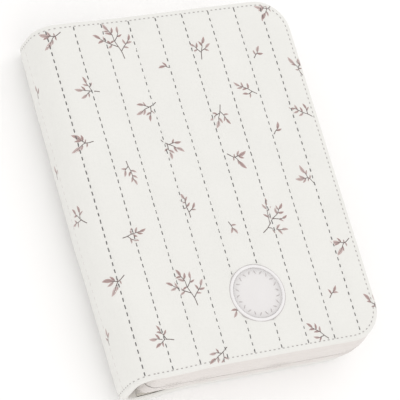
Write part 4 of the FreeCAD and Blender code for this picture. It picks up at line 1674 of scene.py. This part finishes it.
@dataclass
class Zipper:
    """The zipper round three edges: two tapes, two coils and the thread that holds them. Its hardware at
    the head keeps its modelled shape.
    """

    shape: CoverShape
    bulge: float = 1.5 * MM
    bulge_power: float = 2.2
    slit: float = 0.5 * MM
    hook: float = 5.0 * MM
    hook_in: float = 0.5 * MM
    hook_end: float = 2.5 * MM
    sewing_pitch: float = 1.9 * MM
    sewing_length: float = 0.72
    sewing_rows: tuple[float, float] = (0.1, 0.19)
    sewing_width: float = 0.0085
    sewing_high: float = 0.13 * MM
    sewing_sunk: float = 0.04 * MM
    creases: tuple[tuple[float, float], ...] = ((0.30, 0.21), (0.52, 0.16), (0.76, 0.18))
    crease_width: float = 0.045
    seam_in: float = 0.75 * MM
    seam_under: float = 1.0 * MM
    ripples: tuple[tuple[float, float, float], ...] = ((0.10, 310, 0.0), (0.12, 117, 1.0))
    sag: float = 0.18 * MM
    sag_turns: float = 60
    sag_start: float = 0.4
    tape_step: float = 1.2 * MM
    tape_columns: int = 34
    tape_thick: float = 0.5 * MM
    coil_step: float = 0.2 * MM
    coil_pitch: float = 1.25 * MM
    coil_steps: int = 8
    coil_in: float = 0.25 * MM
    coil_deep: float = 0.45 * MM
    coil_level: float = 1.5 * MM
    coil_tall: float = 0.63 * MM
    coil_wire: float = 0.25 * MM
    coil_sides: int = 5
    slider_gap: float = 0.8 * MM
    head_facing: float = 0.99

    def path(self, step: float, hooked: bool = True) -> PlanPath:
        """The tapes' way round the case, their ends turned in beside the spine.

        Args:
            step: Distance between points.
            hooked: Whether the ends turn in. Without it the path ends at the bottom stop.

        Returns:
            The path.
        """
        shape = self.shape
        x = shape.fold_start + self.hook_in
        end = shape.half - self.hook - self.hook_end
        fore, half = shape.fore, shape.half
        corners = [(x, -end), (x, -half), (fore, -half), (fore, half), (x, half), (x, end)]
        radii = [self.hook, shape.corner, shape.corner, self.hook]
        if not hooked:
            corners, radii = corners[1:-1], radii[1:-1]
            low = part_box("zip_bottom_stop")[1].x
            corners = [(low, -shape.half), *corners[1:-1], (low, shape.half)]
        return PlanPath.rounded(corners, radii, step)

    def wall(self, share: Array) -> tuple[Array, Array]:
        """The wall's section on one side.

        Args:
            share: Distances across the wall, from 0 at the chain to 1 at the seam.

        Returns:
            How far out and how far from the chain it lies at each share.
        """
        rise = self.shape.thick / 2 - self.shape.padding + self.seam_under
        away = self.slit + share * (rise - self.slit)
        out = self.bulge - (self.bulge + self.seam_in) * share**self.bulge_power
        for crease, depth in self.creases:
            out = out - depth * MM * np.exp(-(((share - crease) / self.crease_width) ** 2))
        return out, away

    def on_tape(self, path: PlanPath, run: Array, share: Array, front: bool, lift: float = 0.0) -> Array:
        """Places on a tape's outer face, with the tape's soft ripple.

        Args:
            path: The tapes' way round the case.
            run: Distances along it.
            share: Distances across the wall, from 0 at the chain to 1 at the seam.
            front: Whether it is the front cover's tape.
            lift: How far outside the tape.

        Returns:
            The places.
        """
        out, away = self.wall(share)
        ripple = sum(high * MM * np.sin(run * turns + start) for high, turns, start in self.ripples)
        spread = out + ripple * np.sin(math.pi * share) + lift
        columns = [np.interp(run, path.run, values) for values in (*path.points.T, *path.normals.T)]
        sag = self.sag * np.sin(run * self.sag_turns + self.sag_start) * (1 - share)
        z = self.shape.thick / 2 + (away if front else -away) + sag
        return np.stack([columns[0] + columns[2] * spread, columns[1] + columns[3] * spread, z], axis=-1)

    def build_tape(self, front: bool) -> Piece:
        """One tape.

        Args:
            front: Whether it is the front cover's.

        Returns:
            The tape.
        """
        side = "front" if front else "back"
        path = self.path(self.tape_step)
        share, run = np.meshgrid(np.linspace(0, 1, self.tape_columns), path.run)
        builder = MeshBuilder()
        flat = np.stack([run, share * self.shape.thick / 2], axis=-1)
        builder.grid(self.on_tape(path, run, share, front), flat, flip=front)
        obj = builder.build(f"{side}_zip_tape_woven", [Finishes.tape.make()])
        obj.modifiers.new("tape_thickness", "SOLIDIFY").thickness = self.tape_thick
        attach(obj, (Body.FRONT if front else Body.BACK).value)
        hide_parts(f"{side}_zip_tape")
        return obj

    def build_sewing(self, front: bool) -> Piece:
        """The two rows of thread that hold the coil to its tape.

        Args:
            front: Whether it is on the front cover's tape.

        Returns:
            The thread.
        """
        side = "front" if front else "back"
        path = self.path(self.tape_step, hooked=False)
        builder = MeshBuilder()
        count = int(path.run[-1] / self.sewing_pitch)
        across = np.linspace(0, math.pi, 5)
        along = np.linspace(-0.5, 0.5, 5)
        for row in self.sewing_rows:
            for i in range(count):
                run = along[:, None] * self.sewing_pitch * self.sewing_length
                run = (i + 0.5) * self.sewing_pitch + run
                bend = np.sqrt(np.clip(1 - (2 * along[:, None]) ** 4, 0, 1))
                share = row + np.cos(across)[None, :] * self.sewing_width * (0.5 + 0.5 * bend)
                lift = np.sin(across)[None, :] * bend * self.sewing_high - self.sewing_sunk
                run, share, lift = np.broadcast_arrays(run, share, lift)
                places = self.on_tape(path, run, share, front, lift)
                flat = np.stack([run, share * self.shape.thick / 2], axis=-1)
                builder.grid(places, flat, flip=not front)
        obj = builder.build(f"{side}_coil_sewing", [Finishes.sewing.make()])
        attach(obj, (Body.FRONT if front else Body.BACK).value)
        return obj

    def build_coil(self, front: bool) -> Piece:
        """One coil row: a flattened helix of nylon on the inside of its tape.

        Args:
            front: Whether it is the front cover's.

        Returns:
            The coil.
        """
        side = "front" if front else "back"
        path = self.path(self.coil_step, hooked=False)
        keep = np.ones(len(path.run), bool)
        if front:
            # The front row starts at the far side of the closed slider.
            head = (path.points[:, 1] > 0) & (path.normals[:, 1] > self.head_facing)
            keep = ~(head & (path.points[:, 0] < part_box("slider_body")[1].x + self.slider_gap))
        points, normals, run = path.points[keep], path.normals[keep], path.run[keep]
        turns = int((run[-1] - run[0]) / self.coil_pitch)
        t = np.linspace(0, turns, turns * self.coil_steps + 1)
        at = run[0] + t * self.coil_pitch
        x = np.interp(at, run, points[:, 0])
        y = np.interp(at, run, points[:, 1])
        nx, ny = np.interp(at, run, normals[:, 0]), np.interp(at, run, normals[:, 1])
        phase = 2 * math.pi * t + (0 if front else math.pi)
        depth = -self.coil_in + self.coil_deep * np.cos(phase)
        tall = self.coil_level + self.coil_tall * np.sin(phase)
        z = self.shape.thick / 2 + (tall if front else -tall)
        centre = np.stack([x + nx * depth, y + ny * depth, z], axis=-1)
        ahead = np.gradient(centre, axis=0)
        ahead /= np.linalg.norm(ahead, axis=1, keepdims=True)
        first = np.cross(ahead, np.c_[nx, ny, np.zeros(len(nx))])
        first /= np.linalg.norm(first, axis=1, keepdims=True) + SAME
        second = np.cross(ahead, first)
        ring = np.linspace(0, 2 * math.pi, self.coil_sides + 1)[:-1]
        first, second = first[:, None, :], second[:, None, :]
        around = np.cos(ring)[None, :, None] * first + np.sin(ring)[None, :, None] * second
        tube = centre[:, None, :] + self.coil_wire * around
        builder = MeshBuilder()
        builder.grid(tube, None, close_columns=True)
        obj = builder.build(f"{side}_zip_coil_nylon", [Finishes.coil.make()])
        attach(obj, (Body.FRONT if front else Body.BACK).value)
        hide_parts(f"{side}_zip_coil")
        return obj

    def build(self) -> None:
        """Builds both tapes, both coils and the thread between them."""
        for front in (True, False):
            for obj in (self.build_tape(front), self.build_sewing(front), self.build_coil(front)):
                LOG.info("%s: %d faces", obj.name, len(obj.data.polygons))


# ---- badge


@dataclass
class Badge:
    """The round badge: a raised rim between two dark lines, a ring of leaf marks and a smooth middle."""

    shape: CoverShape
    marks: int = 22
    mark_long: float = 1.15
    mark_wide: float = 0.34
    mark_lean: float = 0.5
    mark_low: float = 0.26
    mark_ridge: float = 0.12
    mark_in: float = 2.1
    centre: tuple[float, float] = (0.0, 0.0)
    seat: float = 0.1 * MM
    steps: int = 96
    # Pairs of radius and height in millimetres. In rim and face_edge the radius counts from the badge's
    # own, and in line from each line's place.
    rim: tuple[tuple[float, float], ...] = (
        (0, -0.5), (0, 0.25), (-0.25, 0.62), (-0.75, 0.86),
        (-1.15, 0.82), (-1.5, 0.55), (-1.62, 0.2), (-1.62, -0.3),
    )
    line: tuple[tuple[float, float], ...] = (
        (0.2, -0.3), (0.18, 0.16), (0, 0.24), (-0.18, 0.16), (-0.2, -0.3),
    )
    line_places: tuple[float, float] = (0.12, -1.85)
    face: tuple[tuple[float, float], ...] = (
        (0.001, 0.42), (3.0, 0.42), (6.0, 0.4), (8.6, 0.36), (9.1, 0.3), (9.4, 0.24),
    )
    face_edge: tuple[tuple[float, float], ...] = ((-1.7, 0.22), (-1.6, -0.3))

    def lathe(self, name: str, profile: Sequence[tuple[float, float]], finish: Solid) -> Piece:
        """Turns a profile of (radius, height) pairs, in millimetres, about the badge's axis.

        Args:
            name: Name of the piece.
            profile: The pairs, from one end of the profile to the other.
            finish: Its finish.

        Returns:
            The piece.
        """
        around = np.linspace(0, 2 * math.pi, self.steps + 1)[:-1]
        rows = []
        for radius, height in profile:
            x = self.centre[0] + radius * MM * np.cos(around)
            y = self.centre[1] + radius * MM * np.sin(around)
            rows.append(np.stack([x, y, self.base(x, y) + height * MM], axis=-1))
        builder = MeshBuilder()
        builder.grid(np.array(rows), None, close_columns=True)
        obj = builder.build(name, [finish.make()])
        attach(obj, Body.FRONT.value)
        return obj

    def base(self, x: Array, y: Array) -> Array:
        """Z of the cloth under the badge, without its quilting."""
        shape = self.shape
        return shape.thick + shape.rise(x, y) + self.seat

    def build(self) -> None:
        """Builds the rim, the lines, the face and the ring of marks."""
        low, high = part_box("badge_rim")
        self.centre = ((low.x + high.x) / 2, (low.y + high.y) / 2)
        radius = (high.x - low.x) / 2 / MM
        rim = [(radius + step, height) for step, height in self.rim]
        obj = self.lathe("badge_raised_rim", rim[::-1], Finishes.badge_rim)
        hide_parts("badge_rim")
        for number, place in enumerate(self.line_places):
            line = [(radius + place + step, height) for step, height in self.line]
            obj = self.lathe(f"badge_line_{number + 1}", line[::-1], Finishes.badge_line)
        face = [*self.face, *((radius + step, height) for step, height in self.face_edge)]
        obj = self.lathe("badge_smooth_face", face, Finishes.badge)
        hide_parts("badge_disc")
        builder = MeshBuilder()
        middle = (self.face[-1][0] + radius - self.mark_in) / 2
        for number in range(self.marks):
            self.mark(builder, 2 * math.pi * number / self.marks, middle, number)
        obj = builder.build("badge_leaf_marks", [Finishes.badge_line.make()])
        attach(obj, Body.FRONT.value)

    def mark(self, builder: MeshBuilder, turn: float, radius: float, number: int) -> None:
        """Adds one small leaf mark of the ring, leaning left and right by turns.

        Args:
            builder: The mesh it is added to.
            turn: Where it stands on the ring, in radians.
            radius: The ring's radius in millimetres.
            number: Its number on the ring.
        """
        share = np.linspace(-1, 1, 7)
        lean = self.mark_lean if number % 2 else -self.mark_lean
        long, wide = self.mark_long, self.mark_wide
        rows = []
        for across in (-1, 0, 1):
            r = radius + long * share * math.cos(lean) - across * wide * (1 - share**2) * math.sin(lean)
            s = long * share * math.sin(lean) + across * wide * (1 - share**2) * math.cos(lean)
            angle = turn + s / radius
            x = self.centre[0] + r * MM * np.cos(angle)
            y = self.centre[1] + r * MM * np.sin(angle)
            height = self.mark_low + (0 if across else self.mark_ridge)
            rows.append(np.stack([x, y, self.base(x, y) + height * MM], axis=-1))
        builder.grid(np.array(rows), None, flip=True)


# ---- the book inside


@dataclass
class Sleeve:
    """The cloth pocket inside a panel that a board slides into."""

    front: bool
    corner: float = 14.0 * MM
    edge_reach: float = 5.2 * MM
    ripple: float = 0.1 * MM
    ripple_turns: tuple[float, float] = (210, 160)
    hem: float = 0.35 * MM
    hem_in: float = 1.2 * MM
    hem_width: float = 1.1 * MM
    thick: float = 0.35 * MM

    def build(self) -> None:
        """A cloth that rises from its seam over the board's edge, with a hem along its mouth."""
        side = "front" if self.front else "back"
        low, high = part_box(f"{side}_sleeve")
        x_low, x_high, half, corner = low.x, high.x, high.y, self.corner
        share = np.r_[np.linspace(0, 0.75, 30), 0.75 + 0.25 * cosine_spread(14)[1:]]
        straight = half - corner
        turn = straight + corner * cosine_spread(12)[1:]
        y = np.r_[-turn[::-1], np.linspace(-straight, straight, 90), turn][:, None]
        x = x_low + share[None, :] * (rounded_fore(y, x_high, half, corner) - x_low)
        y = np.broadcast_to(y, x.shape)
        dx, dy = x_high - x, half - np.abs(y)
        rounded = corner - np.hypot(corner - dx, corner - dy)
        rim = np.where((dx < corner) & (dy < corner), rounded, np.minimum(dx, dy))
        rise = (high.z - low.z) * smoothstep(rim / self.edge_reach)
        turns_x, turns_y = self.ripple_turns
        rise = rise + self.ripple * np.sin(x * turns_x) * np.sin(y * turns_y + 1)
        rise = rise + self.hem * np.exp(-(((x - x_low - self.hem_in) / self.hem_width) ** 2))
        z = high.z - rise if self.front else low.z + rise
        builder = MeshBuilder()
        builder.grid(np.stack([x, y, z], axis=-1), None, flip=self.front)
        obj = builder.build(f"{side}_sleeve_cloth", [Finishes.lining.make()])
        obj.modifiers.new("cloth_thickness", "SOLIDIFY").thickness = self.thick
        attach(obj, (Body.FRONT if self.front else Body.BACK).value)
        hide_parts(f"{side}_sleeve")


@dataclass
class BookBlock:
    """The boards, endpapers, leaves and spine pieces, which keep their modelled shapes."""

    nodes: dict[str, Piece]
    leaf_corner: float = 4.0 * MM
    leaf_bend: float = 34 * MM
    bevel_segments: int = 3

    def dress(self) -> None:
        """Gives each kept node its finish and softens its edges."""
        plan: list[tuple[str, Cloth | Solid, float]] = []
        for side in ("front", "back"):
            plan += [
                (f"{side}_board", Finishes.board, 0.35),
                (f"{side}_endpaper", Finishes.endpaper, 0.0),
                (f"{side}_pages", Finishes.pages, 0.4),
                (f"{side}_spine_lining", Finishes.mull, 0.1),
                (f"{side}_headbands", Finishes.headband, 0.5),
                (f"{side}_top_stop", Finishes.metal, 0.3),
            ]
        plan += [
            ("book_spine_strip", Finishes.board, 0.3),
            ("zip_bottom_stop", Finishes.metal, 0.3),
            ("slider_body", Finishes.metal, 0.16),
            ("slider_bail", Finishes.metal, 0.12),
            ("pull_tab", Finishes.metal, 0.16),
        ]
        for name, finish, soft in plan:
            obj = self.nodes[name]
            obj.data.materials.clear()
            obj.data.materials.append(finish.make())
            if soft:
                bevel = obj.modifiers.new("soft_edges", "BEVEL")
                bevel.width = soft * MM
                bevel.segments = self.bevel_segments
                bevel.limit_method = "ANGLE"
            LOG.info("%s: dressed as %s", name, finish.name)

    def build_leaves(self) -> None:
        """The loose leaves, as flat sheets with rounded fore corners."""
        for number in range(1, 5):
            name = f"leaf_{number}"
            low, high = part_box(name)
            corner = self.leaf_corner
            tail = np.linspace(low.y, low.y + corner, 7)
            middle = np.linspace(low.y + corner, high.y - corner, 30)[1:-1]
            y = np.r_[tail, middle, np.linspace(high.y - corner, high.y, 7)][:, None]
            fore = rounded_fore(y, high.x, high.y, corner)
            x = low.x + np.linspace(0, 1, 48)[None, :] * (fore - low.x)
            y = np.broadcast_to(y, x.shape)
            z = np.full(x.shape, (low.z + high.z) / 2)
            builder = MeshBuilder()
            builder.grid(np.stack([x, y, z], axis=-1), None)
            obj = builder.build(f"{name}_paper", [Finishes.leaf.make()])
            modifier = obj.modifiers.new("paper_thickness", "SOLIDIFY")
            modifier.thickness = high.z - low.z
            modifier.offset = 0.0
            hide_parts(name)
            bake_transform(obj)
            LOG.info("%s: %d faces", obj.name, len(obj.data.polygons))


# ---- studio


@dataclass
class Studio:
    """A pale floor, soft lights and the camera."""

    lens: float = 272.2
    sensor: float = 36.0
    clip_end: float = 20.0
    eye: tuple[float, float, float] = (-0.6754, -0.4217, 1.3495)
    right: tuple[float, float, float] = (0.890, -0.276, 0.364)
    up: tuple[float, float, float] = (0.139, 0.922, 0.360)
    sky: Colour = (1.0, 0.99, 0.98)
    sky_strength: float = 1.02
    lamp_size: float = 1.4
    key: tuple[float, float, float] = (0.8, 0.6, 1.6)
    key_power: float = 2.6
    key_tint: Colour = (1.0, 1.0, 1.0)
    fill: tuple[float, float, float] = (-0.5, -1.5, 0.9)
    fill_power: float = 2.0
    fill_tint: Colour = (1.0, 0.84, 0.82)
    floor_reach: float = 4.0
    floor_level: float = -0.2 * MM

    def area(self, name: str, place: tuple[float, float, float], power: float, tint: Colour) -> None:
        """Adds a square soft light aimed at the book.

        Args:
            name: The light's name.
            place: Where it hangs.
            power: Its power.
            tint: Its colour.
        """
        data = bpy.data.lights.new(name, "AREA")
        data.size = self.lamp_size
        data.energy = power
        data.color = tint
        lamp = bpy.data.objects.new(name, data)
        lamp.location = place
        lamp.rotation_euler = (-Vector(place)).to_track_quat("-Z", "Y").to_euler()
        bpy.context.scene.collection.objects.link(lamp)

    def floor(self) -> None:
        """Lays the floor."""
        builder = MeshBuilder()
        span = np.linspace(-self.floor_reach, self.floor_reach, 9)
        x, y = np.meshgrid(span, span)
        builder.grid(np.stack([x, y, np.full_like(x, self.floor_level)], axis=-1), None)
        pale, shade = (0.98, 0.98, 0.98), (0.97, 0.97, 0.97)
        finish = Solid("pale_floor", pale, shade, rough=0.95, grain=0.05, bump=0.01)
        builder.build("floor", [finish.make()])

    def camera(self) -> None:
        """Places the camera."""
        data = bpy.data.cameras.new("camera")
        data.lens = self.lens
        data.sensor_width = self.sensor
        data.clip_end = self.clip_end
        camera = bpy.data.objects.new("camera", data)
        right = Vector(self.right).normalized()
        up = Vector(self.up)
        up = (up - right * up.dot(right)).normalized()
        back = right.cross(up)
        turn = Matrix((right, up, back)).transposed().to_4x4()
        camera.matrix_world = Matrix.Translation(Vector(self.eye)) @ turn
        bpy.context.scene.collection.objects.link(camera)
        bpy.context.scene.camera = camera

    def light(self) -> None:
        """Sets the soft light from above and all round."""
        world = bpy.data.worlds.new("studio")
        world.use_nodes = True
        sky = world.node_tree.nodes["Background"]
        sky.inputs["Color"].default_value = (*self.sky, 1.0)
        sky.inputs["Strength"].default_value = self.sky_strength
        bpy.context.scene.world = world
        self.area("key", self.key, self.key_power, self.key_tint)
        self.area("fill", self.fill, self.fill_power, self.fill_tint)
        bpy.context.scene.view_settings.view_transform = "Standard"

    def build(self) -> None:
        """Builds the whole studio."""
        self.floor()
        self.light()
        self.camera()


def carriers(strips: list[CoverStrip]) -> dict[str, Carrier]:
    """How a piece sewn or printed on each part of the cover is placed: on the body of its part, or where
    it is built on a fold.

    Args:
        strips: The spine and the two folds.

    Returns:
        One carrier for each part, by the part's name.
    """
    by_name = {strip.name: strip for strip in strips}
    return {
        "front": lambda obj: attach(obj, Body.FRONT.value),
        "front_fold": by_name["front_fold"].place,
        "spine": lambda obj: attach(obj, Body.SPINE.value),
        "back_fold": by_name["back_fold"].place,
        "back": lambda obj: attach(obj, Body.BACK.value),
    }


def main() -> None:
    """Builds the book on the loaded frame."""
    logging.basicConfig(level=logging.INFO, format="%(message)s")
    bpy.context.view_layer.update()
    shape = CoverShape.from_frame()
    for front in (True, False):
        PaddedPanel(shape, front).build()
    strips = cover_strips(shape)
    for strip in strips:
        strip.build()
    carry = carriers(strips)
    Stitching(shape).build(carry)
    Print(shape).build(carry)
    Zipper(shape).build()
    Badge(shape).build()
    for front in (True, False):
        Sleeve(front).build()
    book = BookBlock(frame["nodes"])
    book.dress()
    book.build_leaves()
    Studio().build()


if __name__ == "__main__":
    main()
